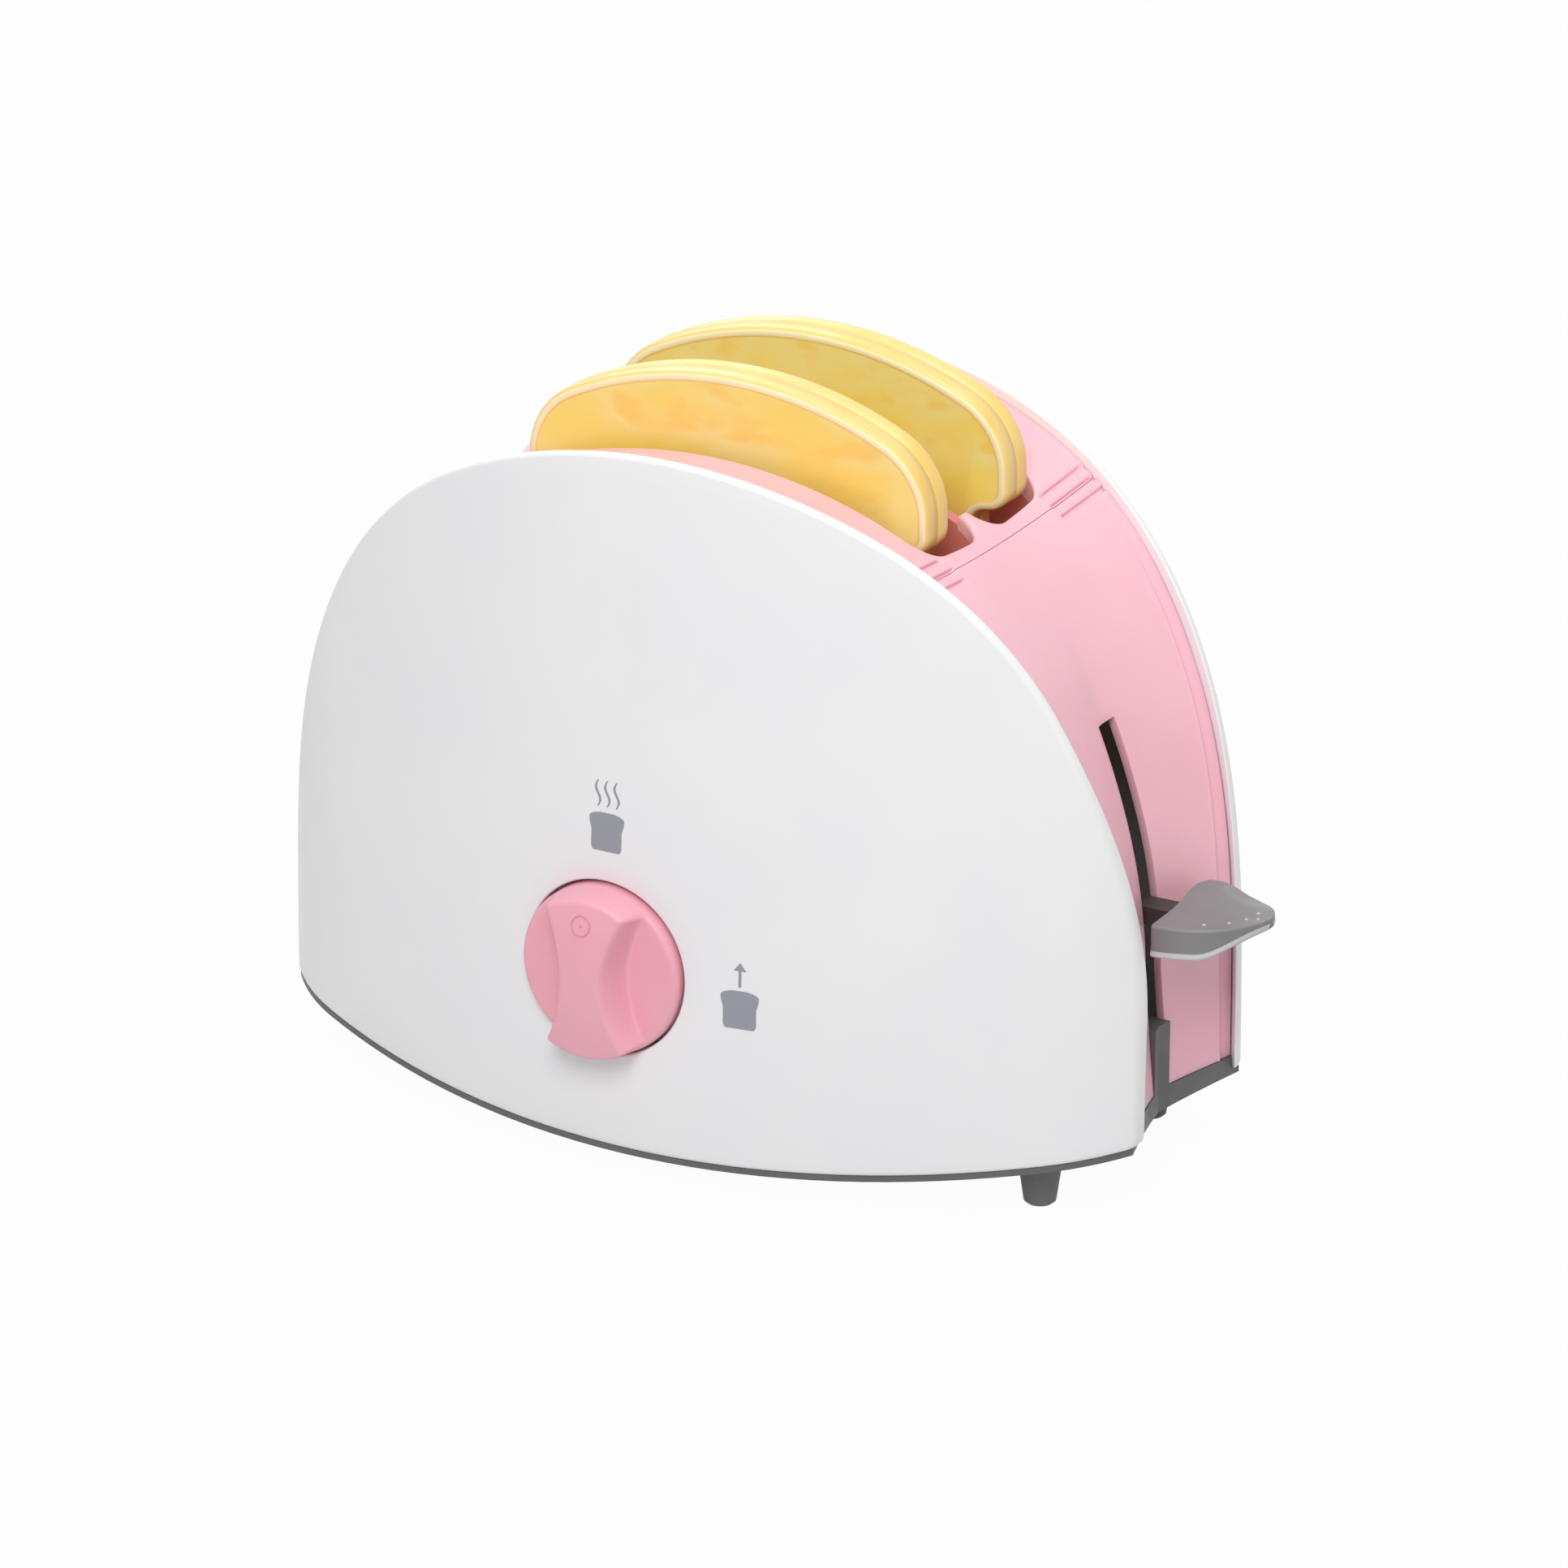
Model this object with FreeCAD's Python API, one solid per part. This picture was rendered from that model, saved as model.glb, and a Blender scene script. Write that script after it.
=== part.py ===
import FreeCAD
import Part
import math
import os

os.makedirs("parts", exist_ok=True)
Vec = FreeCAD.Vector

# Toy toaster, in millimetres. X runs along the body to the lever end, Y from the
# knob face to the back, Z up from the table. The model is drawn about the middle
# of the body and moved at the end, so that the origin is the middle of its footprint.

# Body
BODY_LENGTH = 200.0
BODY_DEPTH = 110.4
BODY_RISE = 147.0
TABLE_GAP = 6.0
CROWN_RADIUS = 110.0
CROWN_TURN = math.radians(26.5)
SHOULDER_RADIUS = 80.0
SHOULDER_TURN = math.radians(62.2)
BULGE_RADIUS = 200.0
BULGE_REACH = 85.0
CORNER_RADIUS = 41.0
LEAN = 9.4
ROCKER_RISE = 9.8
PANEL_WALL = 2.0
COVER_WALL = 2.0
FIT_GAP = 0.15
RUNNING_GAP = 0.05
SEAT_DROP = 0.55
SEAT_WIDTH = 8.0
SEAT_REACH = 2.0
SEAT_PLACES = (-91.0, -55.0, 0.0, 55.0, 91.0)

# Dish of the pink covers
COVER_STEP = 2.0
CROWN_SAG = 4.2
WING_SAG = 7.8
FOOT_SAG = 5.2
CREASE_TURN = math.radians(74.0)
CREASE_SHARE = 0.8
SEAM_X = 58.6
SEAM_GAP = 0.4
GROOVE_PITCH = 3.3
GROOVE_WIDTH = 1.3
GROOVE_DEPTH = 0.8
GROOVE_INNER_Y = 21.5

# Bread slots and the well under them
SLOT_HALF_LENGTH = 51.8
SLOT_INNER_Y = 1.5
SLOT_OUTER_Y = 25.2
SLOT_CORNER = 6.0
SLOT_NOSE_X = 46.0
WELL_WALL = 1.6
WELL_DEPTH = 46.0
DIVIDER_DROP = 18.0

# Base and feet
BASE_RIM = 1.3
BASE_PLATE = 2.4
BASE_INSET = 0.4
BAND_TOP = 18.3
BAND_WIDTH = 14.0
FOOT_X = 78.6
FOOT_LEFT_X = 54.0
FOOT_Y = 25.3
FOOT_TOP_RADIUS = 5.0
FOOT_BOTTOM_RADIUS = 3.3
FOOT_PEG_RADIUS = 2.5
FOOT_PEG_LENGTH = 3.0
FOOT_CHAMFER = 0.6
FOOT_POCKET_GAP = 0.5
FOOT_POCKET_DEPTH = 0.4
SCREW_X = 50.0
SCREW_Y = 38.0
SCREW_RADIUS = 1.5
SCREW_HEAD_RADIUS = 2.9
SCREW_LENGTH = 14.0
SCREW_HEAD_HEIGHT = 1.8
SCREW_HEAD_SINK = 2.0
BOSS_RADIUS = 3.8
BOSS_WEB = 2.0

# Lever
LEVER_SLOT_WIDTH = 7.0
LEVER_SLOT_TOP = 96.5
TONGUE_TOP = 32.4
STEM_WIDTH = 6.0
STEM_BOTTOM = 55.4
STEM_TOP = 59.2
PADDLE_ROOT_X = 97.0
PADDLE_TIP_X = 117.5
PADDLE_HALF_WIDTH = 14.0
PADDLE_TOP = 61.0
PADDLE_BOTTOM = 53.5
PADDLE_HEAD_DEPTH = 1.1

# Carriage on its guide rods
TRAY_TOP = 72.0
TRAY_THICKNESS = 2.5
TRAY_LIP = 7.0
TRAY_LIP_WALL = 1.0
TRAY_GAP = 0.3
TRAY_END_GAP = 8.0
ROD_X = 65.0
ROD_Y = 12.0
ROD_RADIUS = 2.0
ROD_TOP = 114.0
ROD_SEAT_HEIGHT = 14.0
ROD_SEAT_DEPTH = 6.0
ROD_SOCKET_DEPTH = 7.0
BUSH_RADIUS = 4.5
BUSH_BOTTOM = 55.0
SPRING_RADIUS = 4.0
TRAVEL_UP = 34.0
TRAVEL_DOWN = 21.0

# Knob, its shaft and the latch hook
KNOB_X = -7.2
KNOB_Z = 44.9
KNOB_RADIUS = 18.2
KNOB_GAP = 0.6
KNOB_PROUD = 1.8
KNOB_DEPTH = 7.6
GRIP_RISE = 8.3
GRIP_WIDTH = 15.0
GRIP_SCOOP = 26.0
GRIP_BITE = 2.6
KNOB_CHAMFER = 0.8
SHAFT_RADIUS = 3.0
SHAFT_END_Y = 4.0
HOOK_REACH = 18.0
HOOK_THICKNESS = 4.0
HOOK_WIDTH = 5.0
HUB_WALL = 3.0
CATCH_GAP = 0.4
CATCH_REACH = 11.0
CATCH_THICKNESS = 3.0
CATCH_POST = 3.5
BRACKET_Y = -3.4
BRACKET_DEPTH = 3.4
BRACKET_WALL = 2.5
FLANGE_HALF_LENGTH = 9.0
FLANGE_REACH = 5.0
FLANGE_THICKNESS = 2.5
CLIP_THICKNESS = 0.8
CLIP_PROUD = 2.0
CLIP_GROOVE = 0.7
CLIP_MOUTH = 3.6
CLIP_GAP = 0.3

# Toast
TOAST_THICKNESS = 9.8
TOAST_HALF_WIDTH = 46.4
TOAST_WAIST = 38.0
TOAST_HEIGHT = 92.2
TOAST_TOP_RADIUS = 83.0
TOAST_SHOULDER = 17.3
TOAST_EDGE = 1.2
TOAST_WALL = 1.6
TOAST_CORNER = 6.0
TOAST_NECK = 3.5
TOAST_NECK_DROP = 3.0
TOAST_PEG_RADIUS = 3.0
TOAST_PEG_X = 22.0
TOAST_Y = 16.5
TOAST_SHIFTS = (3.1, 3.9)

HALF = BODY_LENGTH / 2.0
TOP_Z = TABLE_GAP + BODY_RISE
FRONT_Y = -BODY_DEPTH / 2.0
FAR = 400.0


def box(x0, x1, y0, y1, z0, z1):
    return Part.makeBox(x1 - x0, y1 - y0, z1 - z0, Vec(x0, y0, z0))


def rod(radius, start, end):
    axis = Vec(*end) - Vec(*start)
    return Part.makeCylinder(radius, axis.Length, Vec(*start), axis)


def mirror_y(shape):
    return shape.mirror(Vec(0, 0, 0), Vec(0, 1, 0))


def mirror_x(shape):
    return shape.mirror(Vec(0, 0, 0), Vec(1, 0, 0))


def arc_edge(a, b, c):
    return Part.Arc(Vec(*a), Vec(*b), Vec(*c)).toShape()


def line_edge(a, b):
    return Part.makeLine(Vec(*a), Vec(*b))


def closed_face(edges):
    return Part.Face(Part.Wire(Part.__sortEdges__(edges)))


# The arch: three tangent arcs from the crown down to an upright end

CROWN_CENTRE = (0.0, TOP_Z - CROWN_RADIUS)
SHOULDER_CENTRE = (
    CROWN_CENTRE[0] + (CROWN_RADIUS - SHOULDER_RADIUS) * math.sin(CROWN_TURN),
    CROWN_CENTRE[1] + (CROWN_RADIUS - SHOULDER_RADIUS) * math.cos(CROWN_TURN),
)
FLANK_RADIUS = (
    HALF - SHOULDER_CENTRE[0] - SHOULDER_RADIUS * math.sin(SHOULDER_TURN)
) / (1.0 - math.sin(SHOULDER_TURN))
FLANK_CENTRE = (
    HALF - FLANK_RADIUS,
    SHOULDER_CENTRE[1] + (SHOULDER_RADIUS - FLANK_RADIUS) * math.cos(SHOULDER_TURN),
)


def arch_point(turn, inset=0.0):
    """A point of the right half of the arch, by how far its tangent has turned."""
    if turn <= CROWN_TURN:
        centre, radius = CROWN_CENTRE, CROWN_RADIUS
    elif turn <= SHOULDER_TURN:
        centre, radius = SHOULDER_CENTRE, SHOULDER_RADIUS
    else:
        centre, radius = FLANK_CENTRE, FLANK_RADIUS
    reach = radius - inset
    return centre[0] + reach * math.sin(turn), centre[1] + reach * math.cos(turn)


def arch_edges(inset, y, floor):
    """The arch as edges at one y, closed along the floor."""
    spans = (
        (CROWN_CENTRE, CROWN_RADIUS, 0.0, CROWN_TURN),
        (SHOULDER_CENTRE, SHOULDER_RADIUS, CROWN_TURN, SHOULDER_TURN),
        (FLANK_CENTRE, FLANK_RADIUS, SHOULDER_TURN, math.pi / 2.0),
    )
    edges = []
    for side in (1, -1):
        for (cx, cz), radius, a, b in spans:
            reach = radius - inset
            pts = []
            for turn in (a, (a + b) / 2.0, b):
                pts.append((side * (cx + reach * math.sin(turn)), y, cz + reach * math.cos(turn)))
            edges.append(arc_edge(*pts))
        edges.append(line_edge(pts[-1], (pts[-1][0], y, floor)))
    edges.append(line_edge((HALF - inset, y, floor), (inset - HALF, y, floor)))
    return edges


def arch_block(inset, y0, y1, floor=-20.0):
    face = closed_face(arch_edges(inset, y0, floor))
    return face.extrude(Vec(0, y1 - y0, 0))


# The panels: the plan curve of the front face, swung about a distant axis so it leans

BULGE_CENTRE_Y = FRONT_Y + BULGE_RADIUS
BULGE_TURN = math.asin(BULGE_REACH / BULGE_RADIUS)
CORNER_X = BULGE_REACH - CORNER_RADIUS * math.sin(BULGE_TURN)
CORNER_Y = BULGE_CENTRE_Y - (BULGE_RADIUS - CORNER_RADIUS) * math.cos(BULGE_TURN)
LEAN_RADIUS = (BODY_RISE ** 2 + LEAN ** 2) / (2.0 * LEAN)
LEAN_AXIS_Y = FRONT_Y + LEAN_RADIUS
PLAN_REACH = HALF + 2.0


def plan_edges(inset, z, reach=PLAN_REACH):
    """Three tangent arcs of the front face in plan, and the two end points."""
    radius = BULGE_RADIUS - inset
    corner = CORNER_RADIUS - inset
    last = math.asin((reach - CORNER_X) / corner)
    edges = []
    ends = []
    bulge = [
        (radius * math.sin(t), BULGE_CENTRE_Y - radius * math.cos(t), z)
        for t in (-BULGE_TURN, 0.0, BULGE_TURN)
    ]
    edges.append(arc_edge(*bulge))
    for side in (1, -1):
        pts = [
            (side * (CORNER_X + corner * math.sin(t)), CORNER_Y - corner * math.cos(t), z)
            for t in (BULGE_TURN, (BULGE_TURN + last) / 2.0, last)
        ]
        edges.append(arc_edge(*pts))
        ends.append(pts[-1])
    return edges, ends


def plan_y(x, inset):
    """The front face's y at the foot of the panel."""
    x = abs(x)
    if x <= (BULGE_RADIUS - inset) * math.sin(BULGE_TURN):
        return BULGE_CENTRE_Y - math.sqrt((BULGE_RADIUS - inset) ** 2 - x ** 2)
    return CORNER_Y - math.sqrt((CORNER_RADIUS - inset) ** 2 - (x - CORNER_X) ** 2)


def lean_at(z):
    return LEAN_RADIUS - math.sqrt(LEAN_RADIUS ** 2 - (z - TABLE_GAP) ** 2)


def swing(face, below=30.0, above=30.0):
    """Sweeps a plan face up the leaning arc, from below the foot to above the crown."""
    low = math.degrees(math.asin(below / LEAN_RADIUS))
    high = math.degrees(math.asin((BODY_RISE + above) / LEAN_RADIUS))
    centre = Vec(0, LEAN_AXIS_Y, TABLE_GAP)
    start = face.copy()
    start.rotate(centre, Vec(-1, 0, 0), -low)
    return start.revolve(centre, Vec(-1, 0, 0), low + high)


def layer(outer_inset, inner_inset):
    """A layer of the front shell between two insets from its outer face."""
    outer, outer_ends = plan_edges(outer_inset, TABLE_GAP)
    inner, inner_ends = plan_edges(inner_inset, TABLE_GAP)
    ties = [line_edge(a, b) for a, b in zip(outer_ends, inner_ends)]
    return swing(closed_face(outer + inner + ties))


def outside(inset):
    """All that lies in front of the front shell's face at an inset."""
    curve, ends = plan_edges(inset, TABLE_GAP)
    edge_y = FRONT_Y - 40.0
    corners = [(x, edge_y, z) for x, _, z in ends]
    ties = [line_edge(a, b) for a, b in zip(ends, corners)]
    return swing(closed_face(curve + ties + [line_edge(*corners)]))


ROCKER_RADIUS = (HALF ** 2 + ROCKER_RISE ** 2) / (2.0 * ROCKER_RISE)


def rocker(drop):
    """The round space above the rocker line, with its skin lowered by drop."""
    centre_z = TABLE_GAP + ROCKER_RADIUS
    return rod(ROCKER_RADIUS + drop, (0, -FAR / 2, centre_z), (0, FAR / 2, centre_z))


def rocker_z(x):
    return TABLE_GAP + ROCKER_RADIUS - math.sqrt(ROCKER_RADIUS ** 2 - x ** 2)


# The covers: strips with a dished section, drawn square to the arch

def blend(value, low, high):
    share = min(max((value - low) / (high - low), 0.0), 1.0)
    return share * share * (3.0 - 2.0 * share)


SEAM_TURN = math.asin((SEAM_X - SHOULDER_CENTRE[0]) / SHOULDER_RADIUS)


def station(turn, z=None):
    """Place, outward direction, half width, sag and crease share of a cover section."""
    x, height = arch_point(turn)
    if z is not None:
        x, height = HALF, z
    normal = (math.sin(turn), math.cos(turn))
    half_width = -plan_y(x, PANEL_WALL) - lean_at(height)
    rise = blend(turn, SEAM_TURN, CREASE_TURN)
    sag = CROWN_SAG + (WING_SAG - CROWN_SAG) * rise
    upright = FLANK_CENTRE[1]
    if height < upright:
        sag += (FOOT_SAG - WING_SAG) * (upright - height) / (upright - BAND_TOP)
    return (x, height), normal, half_width, sag, CREASE_SHARE * rise


def wing_depth(y, half_width, sag, share):
    ratio = y / half_width
    return COVER_STEP + sag * (1.0 - share * ratio - (1.0 - share) * ratio ** 2)


def section(turn, top, bottom, z=None, side=1):
    """One closed section of a cover between two depths under its outer face."""
    place, normal, half_width, sag, share = station(abs(turn), z)
    reach = half_width + 3.0

    def point(y, extra):
        depth = wing_depth(abs(y), half_width, sag, share) + extra
        x = place[0] - normal[0] * depth
        return (side * x, y, place[1] - normal[1] * depth)

    edges = []
    for extra in (top, bottom):
        edges.append(arc_edge(*[point(y, extra) for y in (-reach, -reach / 2.0, 0.0)]))
        edges.append(arc_edge(*[point(y, extra) for y in (0.0, reach / 2.0, reach)]))
    for y in (-reach, reach):
        edges.append(line_edge(point(y, top), point(y, bottom)))
    return Part.Wire(Part.__sortEdges__(edges))


def top_strip(top, bottom):
    edge = SEAM_TURN - 0.5 * SEAM_GAP / SHOULDER_RADIUS
    steps = (-1.0, -0.7, -0.35, 0.0, 0.35, 0.7, 1.0)
    wires = []
    for step in steps:
        side = -1 if step < 0 else 1
        wires.append(section(abs(step) * edge, top, bottom, side=side))
    return Part.makeLoft(wires, True, False)


def end_strip(top, bottom):
    edge = SEAM_TURN + 0.5 * SEAM_GAP / SHOULDER_RADIUS
    upright = math.pi / 2.0
    count = 6
    wires = []
    for step in range(count + 1):
        turn = edge + (upright - edge) * step / count
        wires.append(section(turn, top, bottom))
    for z in ((FLANK_CENTRE[1] + BAND_TOP) / 2.0, BAND_TOP):
        wires.append(section(upright, top, bottom, z=z))
    return Part.makeLoft(wires, True, False)


def trim_to_panels(shape, gap):
    cutter = outside(PANEL_WALL + gap)
    return shape.cut(cutter).cut(mirror_y(cutter))


# Panels

KNOB_FLOOR_Y = plan_y(KNOB_X, 0.0) + lean_at(KNOB_Z) - KNOB_PROUD + KNOB_DEPTH
CUP_RADIUS = KNOB_RADIUS + KNOB_GAP
SEAT_INSET = COVER_STEP + COVER_WALL + SEAT_DROP


def boss_seat_z():
    return rocker_z(SCREW_X + BOSS_RADIUS) + BASE_PLATE


def screw_boss(y):
    """A boss that stands on the base and is webbed to the panel behind it."""
    foot = boss_seat_z()
    top = foot + SCREW_LENGTH
    boss = rod(BOSS_RADIUS, (SCREW_X, y, foot), (SCREW_X, y, top))
    half_web = BOSS_WEB / 2.0
    web = box(SCREW_X - half_web, SCREW_X + half_web, FRONT_Y, y, foot, top)
    hole = rod(SCREW_RADIUS, (SCREW_X, y, foot - 1.0), (SCREW_X, y, top - 2.0))
    return boss.fuse(web).cut(hole)


def seat_ledges():
    """Short ledges inside a panel that the pink covers rest on."""
    ring = layer(PANEL_WALL - 0.2, PANEL_WALL + SEAT_REACH)
    arch = arch_block(SEAT_INSET, -FAR, FAR).cut(arch_block(SEAT_INSET + SEAT_REACH, -FAR, FAR))
    band = ring.common(arch)
    half = SEAT_WIDTH / 2.0
    ledges = []
    for x in SEAT_PLACES:
        ledges.append(band.common(box(x - half, x + half, -FAR, FAR, BAND_TOP + 6.0, TOP_Z)))
    return ledges


def bare_panel():
    """Front shell with its seat rib and screw bosses."""
    shell = layer(0.0, PANEL_WALL).common(arch_block(0.0, -FAR, FAR)).common(rocker(0.0))
    boss = screw_boss(-SCREW_Y)
    bosses = boss.fuse(mirror_x(boss)).cut(outside(PANEL_WALL / 2.0))
    return shell.fuse(seat_ledges()).fuse(bosses).removeSplitter()


def knob_cup():
    """The round recess for the knob, with the shaft's bearing in its floor."""
    floor_back = KNOB_FLOOR_Y + FIT_GAP + PANEL_WALL
    cup = rod(CUP_RADIUS + PANEL_WALL, (KNOB_X, FRONT_Y - 5.0, KNOB_Z), (KNOB_X, floor_back, KNOB_Z))
    return cup.cut(outside(PANEL_WALL / 2.0))


def front_panel():
    axis_front = (KNOB_X, FRONT_Y - 6.0, KNOB_Z)
    recess = rod(CUP_RADIUS, axis_front, (KNOB_X, KNOB_FLOOR_Y + FIT_GAP, KNOB_Z))
    bearing = rod(SHAFT_RADIUS + RUNNING_GAP, axis_front, (KNOB_X, 0.0, KNOB_Z))
    return bare_panel().fuse(knob_cup()).cut(recess).cut(bearing)


def rear_panel():
    return mirror_y(bare_panel())


# Covers

def groove_slabs(side):
    """Thin slabs square to the arch that cut the vent grooves on one end."""
    slabs = []
    for step in (-1, 0, 1):
        turn = SEAM_TURN + step * GROOVE_PITCH / SHOULDER_RADIUS
        x, z = arch_point(turn)
        for y in (-BODY_DEPTH, GROOVE_INNER_Y):
            length = BODY_DEPTH - GROOVE_INNER_Y
            slab = Part.makeBox(GROOVE_WIDTH, length, 20.0, Vec(-GROOVE_WIDTH / 2.0, y, -10.0))
            slab.rotate(Vec(0, 0, 0), Vec(0, 1, 0), math.degrees(turn))
            slab.translate(Vec(x, 0, z))
            slabs.append(slab if side > 0 else mirror_x(slab))
    return slabs


def rounded_slot(x_reach, y0, y1, corner, z0, z1):
    """An upright prism with rounded ends."""
    block = box(-x_reach, x_reach, y0, y1, z0, z1)
    upright = [e for e in block.Edges if abs(e.tangentAt(e.FirstParameter).z) > 0.9]
    return block.makeFillet(corner, upright)


def bread_opening(grow, z0, z1):
    """Both slots, joined where the bridge between them is cut low."""
    slot = rounded_slot(
        SLOT_HALF_LENGTH + grow, SLOT_INNER_Y - grow, SLOT_OUTER_Y + grow, SLOT_CORNER + grow, z0, z1
    )
    middle = box(-SLOT_NOSE_X - grow, SLOT_NOSE_X + grow, -SLOT_CORNER, SLOT_CORNER, z0, z1)
    return slot.fuse(mirror_y(slot)).fuse(middle)


def top_cover():
    cover = trim_to_panels(top_strip(0.0, COVER_WALL), FIT_GAP)
    cover = cover.cut(bread_opening(0.0, TOP_Z - 60.0, TOP_Z + 20.0))
    grooves = top_strip(-1.0, GROOVE_DEPTH).common(Part.makeCompound(groove_slabs(1) + groove_slabs(-1)))
    return cover.cut(grooves)


def plain_end_cover():
    cover = trim_to_panels(end_strip(0.0, COVER_WALL), FIT_GAP)
    grooves = end_strip(-1.0, GROOVE_DEPTH).common(Part.makeCompound(groove_slabs(1)))
    return cover.cut(grooves)


def lever_slot():
    """The upright slot for the lever."""
    half = LEVER_SLOT_WIDTH / 2.0
    return box(ROD_X, HALF + 10.0, -half, half, 0.0, LEVER_SLOT_TOP)


def rod_sockets():
    """Bosses under the lever end's cover that hold the guide rods."""
    outer = []
    inner = []
    for y in (-ROD_Y, ROD_Y):
        outer.append(rod(BUSH_RADIUS, (ROD_X, y, ROD_TOP - ROD_SOCKET_DEPTH), (ROD_X, y, TOP_Z)))
        inner.append(rod(ROD_RADIUS, (ROD_X, y, 0.0), (ROD_X, y, ROD_TOP)))
    return outer, inner


def lever_end_cover():
    outer, inner = rod_sockets()
    under = end_strip(COVER_WALL / 2.0, 40.0)
    cover = plain_end_cover()
    for boss in outer:
        cover = cover.fuse(boss.common(under))
    for hole in inner:
        cover = cover.cut(hole)
    return cover.cut(lever_slot())


def plain_end():
    return mirror_x(plain_end_cover())


def bread_well():
    """The skirt that hangs below the slots, with a low divider between them."""
    floor = TOP_Z - WELL_DEPTH
    skirt = bread_opening(WELL_WALL, floor, TOP_Z).cut(bread_opening(0.0, floor - 1.0, TOP_Z + 1.0))
    divider = box(
        -SLOT_HALF_LENGTH, SLOT_HALF_LENGTH, -SLOT_INNER_Y, SLOT_INNER_Y, floor, TOP_Z - DIVIDER_DROP
    )
    under = COVER_STEP + CROWN_SAG + COVER_WALL + 2.0 * FIT_GAP
    return skirt.fuse(divider).common(arch_block(under, -FAR, FAR))


# Base

def end_wings(extra):
    """Upright prisms beyond both ends, with the dished plan of the end covers."""
    place, _, half_width, sag, share = station(math.pi / 2.0, BAND_TOP)
    reach = half_width + 6.0

    def point(y):
        return (place[0] - wing_depth(abs(y), half_width, sag, share) + extra, y, -10.0)

    edges = [arc_edge(*[point(y) for y in (-reach, -reach / 2.0, 0.0)])]
    edges.append(arc_edge(*[point(y) for y in (0.0, reach / 2.0, reach)]))
    far = (HALF + 20.0, reach, -10.0)
    near = (HALF + 20.0, -reach, -10.0)
    edges.append(line_edge(point(reach), far))
    edges.append(line_edge(far, near))
    edges.append(line_edge(near, point(-reach)))
    wing = closed_face(edges).extrude(Vec(0, 0, FAR / 4.0))
    return wing, mirror_x(wing)


def plan_block(inset, z0, z1, reach):
    """The body's plan as a prism, with both faces set in by inset."""
    front, ends = plan_edges(inset, z0, reach)
    right, left = ends
    back = [mirror_y(edge) for edge in front]
    ties = [
        line_edge(right, (right[0], -right[1], z0)),
        line_edge(left, (left[0], -left[1], z0)),
    ]
    return closed_face(front + back + ties).extrude(Vec(0, 0, z1 - z0))


def base_seats():
    """Raised seats for rods and the bosses' screws, and the band under each end cover."""
    plate_top = boss_seat_z()
    seats = []
    for y in (-ROD_Y, ROD_Y):
        seats.append(rod(BUSH_RADIUS, (ROD_X, y, TABLE_GAP), (ROD_X, y, TABLE_GAP + ROD_SEAT_HEIGHT)))
    for x in (-SCREW_X, SCREW_X):
        for y in (-SCREW_Y, SCREW_Y):
            seats.append(rod(BOSS_RADIUS, (x, y, TABLE_GAP), (x, y, plate_top)))
    for x in (-FOOT_LEFT_X, FOOT_X):
        for y in (-FOOT_Y, FOOT_Y):
            seats.append(rod(FOOT_TOP_RADIUS, (x, y, TABLE_GAP), (x, y, rocker_z(x) + 5.0)))
    return seats


def screw_head_z():
    return rocker_z(SCREW_X) - BASE_RIM + SCREW_HEAD_SINK


def base_holes():
    holes = []
    for y in (-ROD_Y, ROD_Y):
        holes.append(rod(ROD_RADIUS, (ROD_X, y, TABLE_GAP + ROD_SEAT_DEPTH), (ROD_X, y, FAR)))
    head_z = screw_head_z()
    for x in (-SCREW_X, SCREW_X):
        for y in (-SCREW_Y, SCREW_Y):
            holes.append(rod(SCREW_RADIUS + FIT_GAP, (x, y, -10.0), (x, y, FAR / 4.0)))
            holes.append(rod(SCREW_HEAD_RADIUS + FIT_GAP, (x, y, -10.0), (x, y, head_z)))
    for x in (-FOOT_LEFT_X, FOOT_X):
        foot_top = foot_seat_z(x)
        for y in (-FOOT_Y, FOOT_Y):
            holes.append(rod(FOOT_TOP_RADIUS + FOOT_POCKET_GAP, (x, y, -10.0), (x, y, foot_top)))
            holes.append(rod(FOOT_PEG_RADIUS, (x, y, -10.0), (x, y, foot_top + FOOT_PEG_LENGTH)))
    return holes


def foot_seat_z(x):
    return rocker_z(abs(x) + FOOT_TOP_RADIUS) - BASE_RIM + FOOT_POCKET_DEPTH


def base():
    """Rocker tray: a rim under the panels, a plate between them, end bands and the tongue."""
    rim = plan_block(BASE_INSET, -10.0, 40.0, HALF - BASE_INSET).common(rocker(BASE_RIM))
    rim = rim.cut(rocker(0.0))
    plug = plan_block(PANEL_WALL + FIT_GAP, -10.0, BAND_TOP - FIT_GAP, HALF - BASE_INSET)
    plug = plug.common(rocker(0.01)).cut(rocker(-BASE_PLATE))
    band = box(HALF - BAND_WIDTH, HALF, -FAR, FAR, 0.0, BAND_TOP - FIT_GAP)
    bands = band.fuse(mirror_x(band))
    bands = bands.common(plan_block(PANEL_WALL + FIT_GAP, -10.0, 40.0, HALF - BASE_INSET))
    bands = bands.common(rocker(0.01))
    tray = rim.fuse(plug).fuse(bands)
    for seat in base_seats():
        tray = tray.fuse(seat)
    tray = tray.common(rocker(BASE_RIM))
    tongue_half = LEVER_SLOT_WIDTH / 2.0 - FIT_GAP
    tongue = box(HALF - BAND_WIDTH, HALF, -tongue_half, tongue_half, BAND_TOP - 4.0, TONGUE_TOP)
    tray = tray.fuse(tongue)
    for wing in end_wings(0.0):
        tray = tray.cut(wing)
    for hole in base_holes():
        tray = tray.cut(hole)
    return tray.removeSplitter()


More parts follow.
